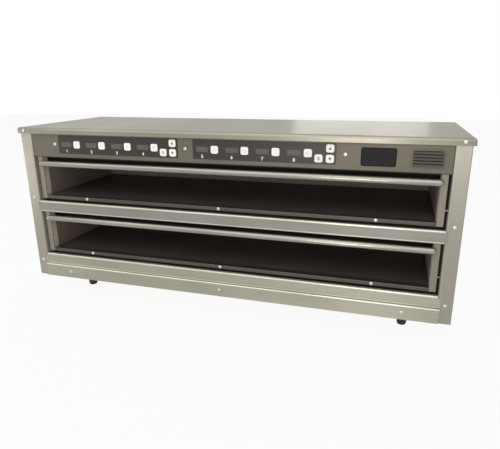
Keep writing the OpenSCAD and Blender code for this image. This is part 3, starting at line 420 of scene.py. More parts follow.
def side_panel(side):
    """One folded side with its post, for the left (-1) or right (1)."""
    low, high = post_low, post_high
    inner = high.x - POST_W
    back = high.y - SHEET
    points = [(inner, low.y + POST_RETURN), (inner, low.y), (high.x, low.y), (high.x, back),
              (high.x - REAR_FOLD, back)]

    def build(bm):
        folded(bm, points, POST_BEND, lambda u, v, w: (side * u, v, w), low.z, high.z, second=(0,))
        ends = sorted((side * (high.x - TOP_FOLD), side * (high.x - SHEET)))
        plate(bm, (ends[0], low.y + POST_RETURN + FOLD_GAP, high.z - SHEET), (ends[1], back - SHEET, high.z))
    return build


# Mill finish on the returns of the posts: pale and dull, with hardly a reflection.
matt_steel = finish_of("mill_finish_stainless", "a39c8f", (1.6, 1.6, 200), 0.15, 0.6, 0.06, 0.004,
                       (60, 60, 160), 0.06)
for side, name in ((-1, "side_panel_left"), (1, "side_panel_right")):
    panel = new_piece("folded_" + name, side_panel(side))
    panel.data.materials.append(stainless_up)
    panel.data.materials.append(matt_steel)
    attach(panel, "cabinet")
    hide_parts(name)

# Rails and plinth panel
# Stainless channels with round edges that lap over the posts at their ends, spot welded to them.
# The plinth panel stands proud below them and is held to the base pan by three screws.
RAIL_FOLD = 9.0
RAIL_EDGE = 3.0
RAIL_LAP = 5.0
RAIL_CLEAR = 0.5
PLINTH_EASE = 0.2


def across(u, v, w):
    """Section point as depth and height, swept across the cabinet."""
    return (w, u, v)


def rail(node):
    """Channel between the posts, with a lapping plate at each end."""
    low, high = box_mm(node)
    half = high.x - RAIL_LAP - RAIL_CLEAR

    def build(bm):
        points = [(low.y + RAIL_FOLD, high.z), (low.y, high.z), (low.y, low.z), (low.y + RAIL_FOLD, low.z)]
        folded(bm, points, RAIL_EDGE, across, -half, half, second=("bends",))
        for s in (-1, 1):
            ends = sorted((s * half, s * high.x))
            plate(bm, (ends[0], low.y, low.z + RAIL_EDGE), (ends[1], low.y + SHEET, high.z - RAIL_EDGE))
    return build


def plinth(bm):
    """Plinth panel with its rolled top edge and folded ends."""
    low, high = box_mm("plinth_panel")
    points = [(high.y, high.z), (low.y, high.z), (low.y, low.z)]
    folded(bm, points, RAIL_EDGE, across, low.x, high.x, PLINTH_EASE, ("bends",))
    for x in (low.x, high.x - SHEET):
        plate(bm, (x, low.y + RAIL_EDGE / 2, low.z), (x + SHEET, high.y, high.z - SHEET / 2))


# The middle rail's sheet: a little darker in colour than the other rails, with softer reflections.
rail_steel = finish_of("darker_rail_stainless", "8a877e", (260, 1.6, 1.6), 0.6, 0.38, 0.06, 0.004,
                       (160, 60, 60), 0.08)
# Bends painted pale as a painted highlight: a light line along each edge.
painted_highlight_bend = finish_of("stainless_bend_painted_highlight", "c3c0b3", (200, 1.6, 1.6), 0.75, 0.34, 0.06, 0.004,
                      (120, 60, 60), 0.12, brushed="X")
for node, build, steel in (("bottom_rail", rail("bottom_rail"), stainless),
                           ("mid_rail", rail("mid_rail"), rail_steel), ("plinth_panel", plinth, stainless)):
    piece = new_piece("folded_" + node, build)
    piece.data.materials.append(steel)
    piece.data.materials.append(painted_highlight_bend)
    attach(piece, "cabinet")
    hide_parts(node)

# Bin liners
# Dark coated sheet: a wrap of both sides and the back, a heated floor plate and a heated ceiling plate.
# Floor and ceiling rest on the wrap, whose folds carry the insulation.
# Baked dark coating on steel: warm and nearly black, with a low sheen and a faint orange peel.
coating = finish_of("baked_coating_floor", "4f4643", (5, 5, 5), 0.0, 0.5, 0.12, 0.03, (200, 200, 200), 0.12)
dress(coating, "upper_bin_floor", "lower_bin_floor")
# The same coating, painted paler and browner on the walls as painted light.
painted_light_wall_coating = finish_of("baked_coating_painted_light_wall", "8a7b73", (5, 5, 5), 0.0, 0.55, 0.12, 0.03,
                         (200, 200, 200), 0.12)
dress(painted_light_wall_coating, "upper_bin_wrap", "lower_bin_wrap")
# The same coating, painted almost black on the ceilings as painted shade, and without sheen, so that the
# ceiling stays black.
painted_shade_coating = finish_of("baked_coating_painted_shade_ceiling", "17130f", (5, 5, 5), 0.0, 0.7, 0.12, 0.03,
                 (200, 200, 200), 0.12, gloss=0.1)
dress(painted_shade_coating, "upper_bin_ceiling", "lower_bin_ceiling")

# Front frames
# Bright stainless frame in each mouth: two jambs and a sill, folded back to the liner and welded.
# A small tab on each side joins the jamb to the post, and three screws hold the sill to the floor.
JAMB_W = 13.3
FRAME_DEPTH = 18.0
FRAME_BEND = 1.8
SILL_FACE = 8.0
JAMB_GAP = 6.0
TAB_RISE = 32.0
TAB_H = 3.0


def front_frame(node):
    """Jambs and tabs of one mouth, and its sill."""
    low, high = box_mm(node)
    jamb_out = high.x - JAMB_GAP
    jamb_in = jamb_out - JAMB_W
    sill = low.z + SILL_FACE

    def jambs(bm):
        jamb = [(jamb_in, low.y + FRAME_DEPTH), (jamb_in, low.y), (jamb_out, low.y)]
        for s in (-1, 1):
            folded(bm, jamb, FRAME_BEND, lambda u, v, w: (s * u, v, w), low.z, high.z, second=(0,))
            ends = sorted((s * jamb_out, s * high.x))
            plate(bm, (ends[0], low.y, low.z + TAB_RISE), (ends[1], low.y + SHEET, low.z + TAB_RISE + TAB_H))

    def sill_strip(bm):
        points = [(low.y + FRAME_DEPTH, sill), (low.y, sill), (low.y, low.z)]
        folded(bm, points, FRAME_BEND, across, -jamb_in, jamb_in)
    return jambs, sill_strip


# Frame sheet, brushed upwards: a warm middle grey that mirrors little.
frame_steel = finish_of("brushed_stainless_frame", "827b71", (1.6, 1.6, 200), 0.45, 0.5, 0.06, 0.004,
                        (90, 90, 90), 0.06)
# Mill finish on the folds into the mouth: dull, and painted pale as painted light, so that they stand out
# against the dark bin.
return_steel = finish_of("mill_finish_stainless_painted_light_return", "d2c9bc", (1.6, 1.6, 200), 0.1, 0.6, 0.06, 0.004,
                         (90, 90, 90), 0.06)
# Stainless of the sills, painted a deep brown-grey as painted shade, with faint streaks.
sill_steel = finish_of("stainless_sill_painted_shade", "4e4b45", (200, 1.6, 1.6), 0.7, 0.42, 0.08, 0.004,
                       (90, 90, 90), 0.08)
for node in ("upper_front_frame", "lower_front_frame"):
    jambs, sill_strip = front_frame(node)
    frame_piece = new_piece("folded_" + node, jambs)
    frame_piece.data.materials.append(frame_steel)
    frame_piece.data.materials.append(return_steel)
    sill_piece = new_piece("sill_" + node, sill_strip)
    sill_piece.data.materials.append(sill_steel)
    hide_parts(node)
    for piece in (frame_piece, sill_piece):
        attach(piece, "cabinet")

# Nose bars
# Bright round-nosed stainless bar across the top of each mouth, with round ends.
# Its flat back is welded to the two jambs.
BAR_R = 7.0
BAR_STEPS = 40
BAR_END_STEPS = 8
# Bar finished along its length: bright, with each lamp drawn into one long soft glint.
bright = finish_of("drawn_stainless_bar", "96928a", (200, 1.4, 1.4), 0.75, 0.26, 0.05, 0.003,
                   (200, 90, 90), 0.1, brushed="X")


def nose_bar(node):
    """Round bar with ball ends, cut flat at the back."""
    low, high = box_mm(node)
    y = low.y + BAR_R
    z = (low.z + high.z) / 2
    rings = [(BAR_R * math.sin(a), BAR_R * (1 - math.cos(a))) for a in quarter(BAR_END_STEPS)[1:]]
    stations = [(r, low.x + d) for r, d in rings] + [(r, high.x - d) for r, d in reversed(rings)]

    def build(bm):
        tips = [bm.verts.new((low.x, y, z)), bm.verts.new((high.x, y, z))]
        loops = [[bm.verts.new((x, y + r * math.cos(a), z + r * math.sin(a))) for a in full_turn(BAR_STEPS)]
                 for r, x in stations]
        for a, b in zip(loops, loops[1:]):
            for k in range(BAR_STEPS):
                bm.faces.new((a[k], a[(k + 1) % BAR_STEPS], b[(k + 1) % BAR_STEPS], b[k]))
        for tip, loop in ((tips[0], loops[0]), (tips[1], loops[-1])):
            for k in range(BAR_STEPS):
                bm.faces.new((tip, loop[k], loop[(k + 1) % BAR_STEPS]))
        cut = bmesh.ops.bisect_plane(bm, geom=bm.verts[:] + bm.edges[:] + bm.faces[:],
                                     plane_co=(0, high.y, 0), plane_no=(0, 1, 0), clear_outer=True)
        rim = [e for e in cut["geom_cut"] if isinstance(e, bmesh.types.BMEdge)]
        bmesh.ops.edgenet_fill(bm, edges=rim)
    return build


for node in ("upper_bar", "lower_bar"):
    piece = new_piece("round_nosed_" + node, nose_bar(node))
    piece.data.materials.append(bright)
    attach(piece, "cabinet")
    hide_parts(node)

# Heaters, insulation and sensors
# Foil heaters lie under the bin floors and on the ceilings, with boards of mineral wool round the bins.
# Sensor blocks and disc thermostats are fixed to the backs of the liners.
# Etched foil between amber films: a warm golden sheen, slightly crumpled.
dress(finish_of("amber_heater_foil", "c9a15c", (6, 6, 6), 1.0, 0.4, 0.12, 0.05),
      "floor_heaters", "ceiling_heaters")
# Mineral wool board: dark, matt and fibrous, in flat layers.
dress(finish_of("mineral_wool", "3b3833", (3, 3, 1.5), 0.0, 0.95, 0.25, 0.4, (60, 60, 60), 0.12),
      "top_insulation", "middle_insulation", "floor_insulation", "side_insulation")
# Nickel-plated steel: light grey, smooth and evenly bright.
dress(finish_of("nickel_plated_steel", "b9b5aa", (2, 2, 2), 1.0, 0.35, 0.08, 0.01),
      "bin_sensors", "high_limit_thermostats")

# Electronics
# Green circuit boards: a power board and terminal block on the tray, and a board behind each overlay.
# A sleeved wiring loom runs up behind the bins and over the tray.
# Glass-fibre board under green solder mask: softly glossy, mottled by the tracks below.
dress(finish_of("solder_masked_board", "1f5a35", (3, 3, 3), 0.0, 0.4, 0.18, 0.03),
      "left_control_board", "right_control_board", "power_board")
# Moulded nylon: off-white and slightly waxy.
dress(finish_of("moulded_nylon", "d9d6cb", (2, 2, 2), 0.0, 0.45, 0.05, 0.01), "terminal_block")
# Woven polyester sleeve: black, with a coarse weave that takes the shine away.
dress(finish_of("woven_sleeve", "161616", (1.5, 1.5, 1.5), 0.0, 0.6, 0.2, 0.08), "wiring_loom")

# Control panel
# Folded stainless panel above the upper mouth, held by three screws to tabs of the tray.
# It stands a little behind the posts and has openings for the keys, the displays and the vent.
# Panel sheet, brushed along, with long streaks, painted dark as painted shade under the lip of the lid.
panel_steel = finish_of("brushed_stainless_panel_painted_shade", "676357", (240, 1.6, 1.6), 0.75, 0.54, 0.06, 0.004,
                        (160, 60, 60), 0.09)
dress(panel_steel, "control_panel")

# Overlays and displays
# Dark printed film on the panel, one for each group, with four tinted display windows and a number each.
# The display blocks sit behind the film, between the panel and the control board.
TIMERS = 4
DIGITS = 4
DISPLAY_W = 29.0
DISPLAY_H = 14.0
DISPLAY_R = 1.0
DISPLAY_LEFT = 29.0
DIGIT_W = 4.8
DIGIT_H = 9.6
DIGIT_STEP = 7.0
DIGIT_STROKE = 1.1
DIGIT_R = 0.33
NUMBER_H = 7.0
NUMBER_FIT = 1.4
NUMBER_BOLD = 0.25
NUMBER_DROP = 15.5
PRINT = 0.06
# Printed polyester film: dark brown, with a low sheen. Its texture is drawn 1.2 mm wide, so that it shows.
film = finish_of("printed_polyester_film", "241e18", (1.2, 1.2, 1.2), 0.0, 0.38, 0.08, 0.004,
                 (90, 90, 90), 0.06)
dress(film, "left_overlay", "right_overlay")
# Clear tinted window of the film: smoother than the print round it, so that it shines more.
window_tint = finish_of("tinted_polyester_window", "332d29", (4, 4, 4), 0.0, 0.2, 0.05, 0.002)
dress(window_tint, "timer_displays")
# Unlit display segments: dull grey bars behind the tint.
digit_grey = finish_of("unlit_segment_grey", "7d756c", (1, 1, 1), 0.0, 0.4, 0.06, 0.002)
# White screen print: flat and clean, a little off pure white.
white_print = finish_of("white_screen_print", "e8e6df", (1, 1, 1), 0.0, 0.45, 0.05, 0.002)


def ring_points(w, h, r, steps=6):
    """Outline of a rectangle with round corners, about its centre."""
    points = []
    for k, (sx, sz) in enumerate(((1, 1), (-1, 1), (-1, -1), (1, -1))):
        for i in range(steps + 1):
            a = math.pi / 2 * (k + i / steps)
            points.append((sx * (w / 2 - r) + r * math.cos(a), sz * (h / 2 - r) + r * math.sin(a)))
    return points


def loft(bm, rings):
    """Closed form through rings of corners, with flat ends."""
    made = [[bm.verts.new(p) for p in ring] for ring in rings]
    for a, b in zip(made, made[1:]):
        for k in range(len(a)):
            n = (k + 1) % len(a)
            bm.faces.new((a[k], a[n], b[n], b[k]))
    bm.faces.new(made[0][::-1])
    bm.faces.new(made[-1])


def upright(bm, x, z, w, h, r, y_back, y_front, edge=0.0):
    """Upright plate with round corners and, if edge is set, a rounded front edge."""
    rings = [[(x + u, y_back, z + v) for u, v in ring_points(w, h, r)]]
    for a in quarter(4) if edge else [0]:
        inset = edge * (1 - math.cos(a))
        y = y_front + edge * (1 - math.sin(a))
        outline = ring_points(w - 2 * inset, h - 2 * inset, max(r - inset, 0.1))
        rings.append([(x + u, y, z + v) for u, v in outline])
    loft(bm, rings)


SEGMENTS = ((0, 1, 1), (-1, 0.5, 0), (1, 0.5, 0), (0, 0, 1), (-1, -0.5, 0), (1, -0.5, 0), (0, -1, 1))


def digit(bm):
    """One unlit digit of seven bars, about the origin."""
    s = DIGIT_STROKE
    for sx, sz, flat in SEGMENTS:
        wide, tall = (DIGIT_W - s, s) if flat else (s, DIGIT_H / 2 - s)
        upright(bm, sx * DIGIT_W / 2, sz * DIGIT_H / 2, wide, tall, DIGIT_R, 0, -PRINT)


def window(bm):
    """One display window, about the origin."""
    upright(bm, 0, 0, DISPLAY_W, DISPLAY_H, DISPLAY_R, 0, -PRINT)


def numeral(bm, text, x, z, height, y):
    """Printed number as a thin raised form."""
    curve = bpy.data.curves.new("numeral", "FONT")
    curve.body = text
    curve.align_x = "CENTER"
    curve.align_y = "CENTER"
    curve.size = height * NUMBER_FIT
    curve.extrude = PRINT / 2
    curve.offset = NUMBER_BOLD
    holder = bpy.data.objects.new("numeral", curve)
    scene.collection.objects.link(holder)
    shape = bpy.data.meshes.new_from_object(holder.evaluated_get(bpy.context.evaluated_depsgraph_get()))
    shape.transform(Matrix.Translation((x, y, z)) @ Matrix.Rotation(math.pi / 2, 4, "X"))
    bm.from_mesh(shape)
    bpy.data.objects.remove(holder)
    bpy.data.curves.remove(curve)
    bpy.data.meshes.remove(shape)


film_front = box_mm("left_overlay")[0].y
for first, name in ((1, "left"), (1 + TIMERS, "right")):
    keys = [sum(box_mm("timer_key_%d" % (first + i)), Vector()) / 2 for i in range(TIMERS)]

    def numbers(bm):
        for i, key in enumerate(keys):
            numeral(bm, str(first + i), key.x - DISPLAY_LEFT, key.z - NUMBER_DROP, NUMBER_H,
                    film_front - PRINT / 2)

    middles = [Vector((key.x - DISPLAY_LEFT, film_front, key.z)) for key in keys]
    figures = [m + Vector(((k - (DIGITS - 1) / 2) * DIGIT_STEP, -PRINT, 0))
               for m in middles for k in range(DIGITS)]
    window_piece = set_out(name + "_overlay_windows", window, middles, window_tint)
    digit_piece = set_out(name + "_overlay_digits", digit, figures, digit_grey)
    number_piece = new_piece(name + "_overlay_numbers", numbers)
    number_piece.data.materials.append(white_print)
    for piece, slot in ((window_piece, "display_window"), (digit_piece, "display_window"),
                        (number_piece, "overlay_film")):
        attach(piece, "cabinet")

# Keys
# White moulded keys, each with a soft edge, a rim behind the panel and a stem to its push switch.
# A small sign is printed on each: a ring to start a timer, an arrow up or down, or lines for the programme.
KEY_EDGE = 1.0
KEY_R = 4.0
KEY_CLEAR = 0.4
KEY_RIM = 1.0
KEY_RIM_GAP = 0.3
KEY_RIM_T = 1.0
KEY_STEM_R = 3.0
RING_OUT, RING_IN = 3.4, 2.5
LINE_L, LINE_W, LINE_R, LINE_STEP = 6.4, 1.2, 0.3, 2.6
ARROW_HALF, ARROW_FOOT, ARROW_TIP = 3.4, 2.6, 3.2
# Moulded white ABS: clean and softly shiny. Its fine texture is drawn 1.5 mm wide, so that it shows.
key_white = finish_of("moulded_white_abs", "f1f0ea", (1.5, 1.5, 1.5), 0.0, 0.4, 0.03, 0.006)
# Pad-printed signs in three inks, flat and dull: grey arrows, pale rings and red lines.
sign_grey = finish_of("pad_print_grey", "5f5a55", (1, 1, 1), 0.0, 0.5, 0.05, 0.002)
sign_pale = finish_of("pad_print_pale", "c2bdb4", (1, 1, 1), 0.0, 0.5, 0.05, 0.002)
sign_red = finish_of("pad_print_red", "a8474a", (1, 1, 1), 0.0, 0.5, 0.05, 0.002)


def key_cap(node):
    """Cap, rim and stem of one key in its CAD place."""
    low, high = box_mm(node)
    x, z = (low.x + high.x) / 2, (low.z + high.z) / 2
    size = high.x - low.x - 2 * (KEY_CLEAR + KEY_RIM)
    rim_front = box_mm("control_panel")[0].y + SHEET + KEY_RIM_GAP
    rim_back = rim_front + KEY_RIM_T

    def build(bm):
        upright(bm, x, z, size, size, KEY_R, rim_front, low.y, KEY_EDGE)
        upright(bm, x, z, high.x - low.x, high.z - low.z, KEY_R + KEY_CLEAR, rim_back, rim_front)
        loft(bm, [[(x + KEY_STEM_R * math.cos(a), y, z + KEY_STEM_R * math.sin(a)) for a in full_turn(24)]
                  for y in (high.y, rim_back)])
    return build


def band(bm, rings):
    """Closed band through rings of corners, from the last back to the first."""
    made = [[bm.verts.new(p) for p in ring] for ring in rings]
    for a, b in zip(made, made[1:] + made[:1]):
        for k in range(len(a)):
            n = (k + 1) % len(a)
            bm.faces.new((a[k], a[n], b[n], b[k]))


def sign(node, kind):
    """Printed sign on a key's face."""
    low, high = box_mm(node)
    x, z, y = (low.x + high.x) / 2, (low.z + high.z) / 2, low.y

    def build(bm):
        if kind == "ring":
            band(bm, [[(x + r * math.cos(a), d, z + r * math.sin(a)) for a in full_turn(32)]
                      for r, d in ((RING_OUT, y), (RING_OUT, y - PRINT), (RING_IN, y - PRINT), (RING_IN, y))])
        elif kind == "lines":
            for k in (-1, 0, 1):
                upright(bm, x, z + k * LINE_STEP, LINE_L, LINE_W, LINE_R, y, y - PRINT)
        else:
            s = 1 if kind == "up" else -1
            foot_z = z - s * ARROW_FOOT
            corners = [(x - ARROW_HALF, foot_z), (x + ARROW_HALF, foot_z), (x, z + s * ARROW_TIP)]
            loft(bm, [[(u, d, v) for u, v in corners] for d in (y, y - PRINT)])
    return build


sign_inks = {"ring": sign_pale, "lines": sign_red, "up": sign_grey, "down": sign_grey}
key_signs = [("timer_key_%d" % (k + 1), "ring") for k in range(2 * TIMERS)]
for side in ("left", "right"):
    key_signs += [(side + "_up_key", "up"), (side + "_down_key", "down"), (side + "_program_key", "lines")]
for node, kind in key_signs:
    cap = new_piece("moulded_" + node, key_cap(node))
    cap.data.materials.append(key_white)
    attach(cap, node + "_body")
    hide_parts(node)
    mark = new_piece("sign_" + node, sign(node, kind))
    mark.data.materials.append(sign_inks[kind])
    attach(mark, node + "_body")

# Badge
# Plain black plate with round corners and a thin raised rim, moulded in one piece and left blank.
# It is stuck on the control panel beside the vent.
BADGE_R = 4.0
BADGE_EDGE = 0.6
BADGE_RIM = 1.8
BADGE_SLOPE = 0.5
BADGE_SINK = 0.5
# Moulded acrylic: an even deep black, nearly matt, whose rim catches a thin line of light.
badge_black = finish_of("moulded_black_acrylic", "101211", (2, 2, 2), 0.0, 0.5, 0.08, 0.004, gloss=0.2)


def badge(bm):
    """Plate whose blank field lies a little behind its rim."""
    low, high = box_mm("badge_plate")
    x, z = (low.x + high.x) / 2, (low.z + high.z) / 2
    w, h = high.x - low.x, high.z - low.z
    steps = [(0, high.y)]
    steps += [(BADGE_EDGE * (1 - math.cos(a)), low.y + BADGE_EDGE * (1 - math.sin(a))) for a in quarter(4)]
    steps += [(BADGE_RIM, low.y), (BADGE_RIM + BADGE_SLOPE, low.y + BADGE_SINK)]
    loft(bm, [[(x + u, y, z + v) for u, v in ring_points(w - 2 * inset, h - 2 * inset, BADGE_R - inset)]
              for inset, y in steps])


piece = new_piece("blank_badge", badge)
piece.data.materials.append(badge_black)
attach(piece, "cabinet")
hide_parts("badge_plate")

# Vent and fan
# Pressed stainless grille with a rim and five louvre hoods, over an opening of the control panel.
# A small black fan behind it draws air through the control space.
VENT_RIM = 3.5
VENT_R = 3.5
HOLE_R = 1.7
VENT_EDGE = ((0, 0), (0, 0.6), (0.2, 1.0), (0.6, 1.2))
HOLE_EDGE = ((0.4, 1.2), (0, 0.8))
LOUVRES = 5
HOOD_DEPTH = 3.3
HOOD_T = 0.9
HOOD_TUCK = 0.5
HOOD_GAP = 0.5


def vent_frame(bm):
    """Rim of the grille; its outer and inner edges are rounded in steps of inset and rise."""
    low, high = box_mm("vent_grille")
    x, z = (low.x + high.x) / 2, (low.z + high.z) / 2
    w, h = high.x - low.x, high.z - low.z
    hole_w, hole_h = w - 2 * VENT_RIM, h - 2 * VENT_RIM
    sections = [(hole_w, hole_h, HOLE_R, 0)]
    sections += [(w - 2 * i, h - 2 * i, VENT_R - i, rise) for i, rise in VENT_EDGE]
    sections += [(hole_w + 2 * i, hole_h + 2 * i, HOLE_R + i, rise) for i, rise in HOLE_EDGE]
    band(bm, [[(x + u, high.y - rise, z + v) for u, v in ring_points(a, b, r)] for a, b, r, rise in sections])


def louvre_hood(bm):
    """One pressed hood, round in front and open below."""
    low, high = box_mm("vent_grille")
    half_w = (high.x - low.x) / 2 - VENT_RIM + HOOD_TUCK
    tall = (high.z - low.z - 2 * VENT_RIM) / LOUVRES - HOOD_GAP
    turns = quarter(6)
    outer = [(-HOOD_DEPTH * math.sin(a), tall / 2 - tall * (1 - math.cos(a))) for a in turns]
    inner = [(-(HOOD_DEPTH - HOOD_T) * math.sin(a), tall / 2 - HOOD_T - (tall - HOOD_T) * (1 - math.cos(a)))
             for a in reversed(turns)]
    loft(bm, [[(x, y, z) for y, z in outer + inner] for x in (-half_w, half_w)])


def row_tree():
    """Geometry nodes that repeat a piece in an upright row."""
    tree = bpy.data.node_groups.new("upright_row", "GeometryNodeTree")
    for name, kind in (("Geometry", "Geometry"), ("Piece", "Object"), ("Count", "Int"), ("Start", "Vector"),
                       ("Step", "Vector"), ("Material", "Material")):
        tree.interface.new_socket(name, in_out="INPUT", socket_type="NodeSocket" + kind)
    tree.interface.new_socket("Geometry", in_out="OUTPUT", socket_type="NodeSocketGeometry")
    given = add(tree, "NodeGroupInput").outputs
    line = add(tree, "GeometryNodeMeshLine", None,
               {"Count": given["Count"], "Start Location": given["Start"], "Offset": given["Step"]})
    shape = add(tree, "GeometryNodeObjectInfo", None, {"Object": given["Piece"]})
    spread = add(tree, "GeometryNodeInstanceOnPoints", None,
                 {"Points": line.outputs[0], "Instance": shape.outputs["Geometry"]})
    real = add(tree, "GeometryNodeRealizeInstances", None, {"Geometry": spread.outputs[0]})
    painted = add(tree, "GeometryNodeSetMaterial", None,
                  {"Geometry": real.outputs[0], "Material": given["Material"]})
    add(tree, "NodeGroupOutput", None, {"Geometry": painted.outputs[0]})
    return tree


vent_low, vent_high = box_mm("vent_grille")
vent_mid = (vent_low + vent_high) / 2
hood_step = (vent_high.z - vent_low.z - 2 * VENT_RIM) / LOUVRES
hood = new_piece("hood", louvre_hood)
row_start = Vector((vent_mid.x, vent_high.y, vent_mid.z - hood_step * (LOUVRES - 1) / 2)) * MM
# Louvre sheet, painted dark as painted shade under the lid, with a soft line of light along each hood.
vent_steel = finish_of("brushed_stainless_louvre_painted_shade", "423d37", (200, 1.6, 1.6), 0.6, 0.45, 0.06, 0.004,
                       (60, 60, 60), 0.06)
hoods = grown("vent_louvres", new_piece("hood_holder", louvre_hood), row_tree(),
              {"Piece": hood, "Count": LOUVRES, "Start": row_start, "Step": Vector((0, 0, hood_step)) * MM,
               "Material": vent_steel})
bpy.data.objects.remove(hood)
rim_piece = new_piece("vent_frame", vent_frame)
rim_piece.data.materials.append(panel_steel)
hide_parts("vent_grille")
for piece in (rim_piece, hoods):
    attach(piece, "cabinet")
# Moulded black nylon: dull, with a fine grain.
fan_black = finish_of("moulded_black_nylon", "17181a", (1.5, 1.5, 1.5), 0.0, 0.45, 0.12, 0.02)
dress(fan_black, "fan_frame", "fan_rotor")

# Inlet and power switch
# Black moulded power inlet and rocker switch in cut-outs of the rear panel, held by their flanges.
# Three plated blades stand in the inlet. The rocker turns on two pins and is printed with a ring and a line.
dress(fan_black, "power_inlet", "switch_housing", "power_rocker")
ROCKER_BEND = math.radians(20)
MARK_RISE = 4.0
MARK_OUT, MARK_IN = 2.2, 1.6
MARK_HALF = 0.4
RIDGE_RISE = 0.6
BLADE_PITCH = 9.0
BLADE_T = 2.6
BLADE_H = 6.6
BLADE_FOOT = 2.0
BLADE_IN = 9.7
EARTH_RISE = 3.0


def rocker_marks(bm):
    """Ring on the upper half, which is pressed in, and line on the lower half."""
    low, high = box_mm("power_rocker")
    around = box_mm("switch_housing")
    ridge = Vector(((low.x + high.x) / 2, high.y, (around[0].z + around[1].z) / 2 + RIDGE_RISE))
    right = Vector((-1, 0, 0))
    slope = Vector((0, -math.sin(ROCKER_BEND), math.cos(ROCKER_BEND)))
    out = right.cross(slope)
    middle = ridge + slope * MARK_RISE
    spokes = [slope * math.sin(a) + right * math.cos(a) for a in full_turn(32)]
    band(bm, [[middle + spoke * r + out * d for spoke in spokes]
              for r, d in ((MARK_OUT, 0), (MARK_OUT, PRINT), (MARK_IN, PRINT), (MARK_IN, 0))])
    corners = [(s * MARK_HALF, v * MARK_OUT) for s, v in ((-1, -1), (1, -1), (1, 1), (-1, 1))]
    loft(bm, [[ridge + Vector((u, d, v - MARK_RISE)) for u, v in corners] for d in (0, PRINT)])


def blades(bm):
    """Blades of the inlet, the middle one higher."""
    low, high = box_mm("power_inlet")
    x, z = (low.x + high.x) / 2, (low.z + high.z) / 2
    for k in (-1, 0, 1):
        middle = Vector((x + k * BLADE_PITCH, 0, z + (EARTH_RISE if k == 0 else 0)))
        plate(bm, middle + Vector((-BLADE_T / 2, low.y + BLADE_FOOT, -BLADE_H / 2)),
              middle + Vector((BLADE_T / 2, high.y - BLADE_IN, BLADE_H / 2)))


# Nickel-plated brass: pale and bright against the black inlet.
blade_metal = finish_of("nickel_plated_brass", "c9c2ad", (2, 2, 2), 1.0, 0.3, 0.06, 0.004)
blade_piece = new_piece("inlet_blades", blades)
blade_piece.data.materials.append(blade_metal)
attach(blade_piece, "cabinet")
marks = new_piece("rocker_marks", rocker_marks)
marks.data.materials.append(white_print)
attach(marks, "rocker")

# Lid
# Stainless lid with a turned-down lip all round and soft bends, resting on the side panels.
# Screws through the lip hold it at both front and rear corners.
LID_CORNER = 4.0
LID_BEND = 6.0
LID_EASE = 0.8
LID_FLAT = 1.5
LID_TIGHT = 0.4
# Lid sheet, brushed along: pale, with the lamps drawn into broad bands from front to rear.
# Its colour varies in soft bands about 110 mm across that run from front to rear: painted reflections.
lid_steel = finish_of("brushed_stainless_lid", "918d80", (300, 1.8, 1.8), 0.8, 0.36, 0.05, 0.004,
                      (110, 900, 900), 0.1, brushed="X")


def lid(bm):
    """Shell with round corners and bends."""
    low, high = box_mm("top_cover")
    w, d = high.x - low.x, high.y - low.y

    def ring(inset, z):
        r = max(LID_CORNER - inset, LID_TIGHT)
        return [(u, v, z) for u, v in ring_points(w - 2 * inset, d - 2 * inset, r, 8)]

    turns = quarter(6)
    outer = [ring(0, low.z), ring(0, high.z - LID_BEND - LID_EASE)]
    outer += [ring(LID_BEND * (1 - math.cos(a)), high.z - LID_BEND * (1 - math.sin(a))) for a in turns]
    outer.append(ring(LID_BEND + LID_FLAT, high.z))
    r = LID_BEND - SHEET
    inner = [ring(SHEET, low.z)]
    inner += [ring(SHEET + r * (1 - math.cos(a)), high.z - SHEET - r * (1 - math.sin(a))) for a in turns]
    loft(bm, inner[::-1] + outer)


lid_piece = new_piece("folded_lid", lid)
lid_piece.data.materials.append(lid_steel)
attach(lid_piece, "cabinet")
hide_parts("top_cover")

# Screws
# Steel pan-head screws with a cross recess, in front on posts, rails, panel and lid, and at the rear.
# One head is repeated at every place, each turned to its own angle.
HEAD_R = 3.9
HEAD_H = 1.8
HEAD_DOME = ((1.0, 0.7), (0.94, 1.15), (0.82, 1.5), (0.66, HEAD_H))
SHANK_R = 1.9
SHANK_L = 5.0
TIP_R = 1.33
TIP_L = 0.7
RECESS_L = 4.2
RECESS_W = 1.0
RECESS_D = 1.0
RECESS_TAPER = 0.8
SCREW_SEED = 7
PLINTH_SCREW_X = 409.5
POST_SCREW_Z = (99.0, 267.5)
PANEL_SCREW_X = (-412.0, -72.0, 276.0)
SILL_SCREW_X = 343.0
REAR_SCREW_X = 499.3
REAR_SCREW_LOW = 88.0
REAR_SCREW_STEP = 103.0
# Plated steel: small bright heads that catch the light from all sides.
screw_steel = finish_of("plated_steel", "cbc8be", (1, 1, 1), 0.9, 0.28, 0.05, 0.004, (30, 30, 30), 0.05)


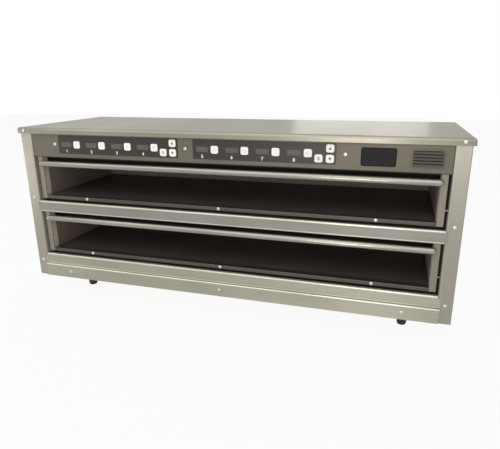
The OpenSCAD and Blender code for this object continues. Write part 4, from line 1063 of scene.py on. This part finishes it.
def pan_head(bm):
    """Screw with a cross recess, its seat at the origin and its head towards the front."""
    profile = [(0, -SHANK_L), (TIP_R, -SHANK_L), (SHANK_R, -SHANK_L + TIP_L), (SHANK_R, 0), (HEAD_R, 0)]
    profile += [(HEAD_R * share, z) for share, z in HEAD_DOME]
    rings = lathe(bm, profile, 28)
    a, b = RECESS_W / 2, RECESS_L / 2
    cross = [(b, -a), (b, a), (a, a), (a, b), (-a, b), (-a, a),
             (-b, a), (-b, -a), (-a, -a), (-a, -b), (a, -b), (a, -a)]
    upper = [bm.verts.new((u, v, HEAD_H)) for u, v in cross]
    lower = [bm.verts.new((u * RECESS_TAPER, v * RECESS_TAPER, HEAD_H - RECESS_D)) for u, v in cross]
    for k in range(len(cross)):
        n = (k + 1) % len(cross)
        bm.faces.new((upper[k], upper[n], lower[n], lower[k]))
    bm.faces.new(lower)
    rims = [bm.edges.get((ring[k - 1], ring[k])) for ring in (rings[-1], upper) for k in range(len(ring))]
    bmesh.ops.triangle_fill(bm, edges=rims, use_beauty=True)
    bmesh.ops.rotate(bm, verts=bm.verts, matrix=Matrix.Rotation(math.pi / 2, 3, "X"))


post_x = post_high.x - POST_W / 2
lid_low, lid_high = box_mm("top_cover")
plinth_low, plinth_high = box_mm("plinth_panel")
panel_front = box_mm("control_panel")[0].y
timers_z = (box_mm("timer_key_1")[0].z + box_mm("timer_key_1")[1].z) / 2
frame_lows = [box_mm(name)[0] for name in ("lower_front_frame", "upper_front_frame")]
front_places = [(k * PLINTH_SCREW_X, plinth_low.y, (plinth_low.z + plinth_high.z) / 2) for k in (-1, 0, 1)]
front_places += [(s * post_x, post_low.y, z) for s in (-1, 1) for z in POST_SCREW_Z]
front_places += [(s * post_x, lid_low.y, (lid_low.z + lid_high.z) / 2) for s in (-1, 1)]
front_places += [(x, panel_front, timers_z) for x in PANEL_SCREW_X]
front_places += [(k * SILL_SCREW_X, low.y, low.z + SILL_FACE / 2) for low in frame_lows for k in (-1, 0, 1)]
rear_places = [(s * REAR_SCREW_X, post_high.y, REAR_SCREW_LOW + REAR_SCREW_STEP * k)
               for s in (-1, 1) for k in range(4)]
rear_places += [(s * post_x, lid_high.y, (lid_low.z + lid_high.z) / 2) for s in (-1, 1)]
for node, places, facing in (("front_screws", front_places, 0.0), ("rear_screws", rear_places, math.pi)):
    piece = set_out("pan_head_" + node, pan_head, places, screw_steel, facing=facing, turn=math.pi,
                    seed=SCREW_SEED)
    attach(piece, "cabinet")
    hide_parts(node)
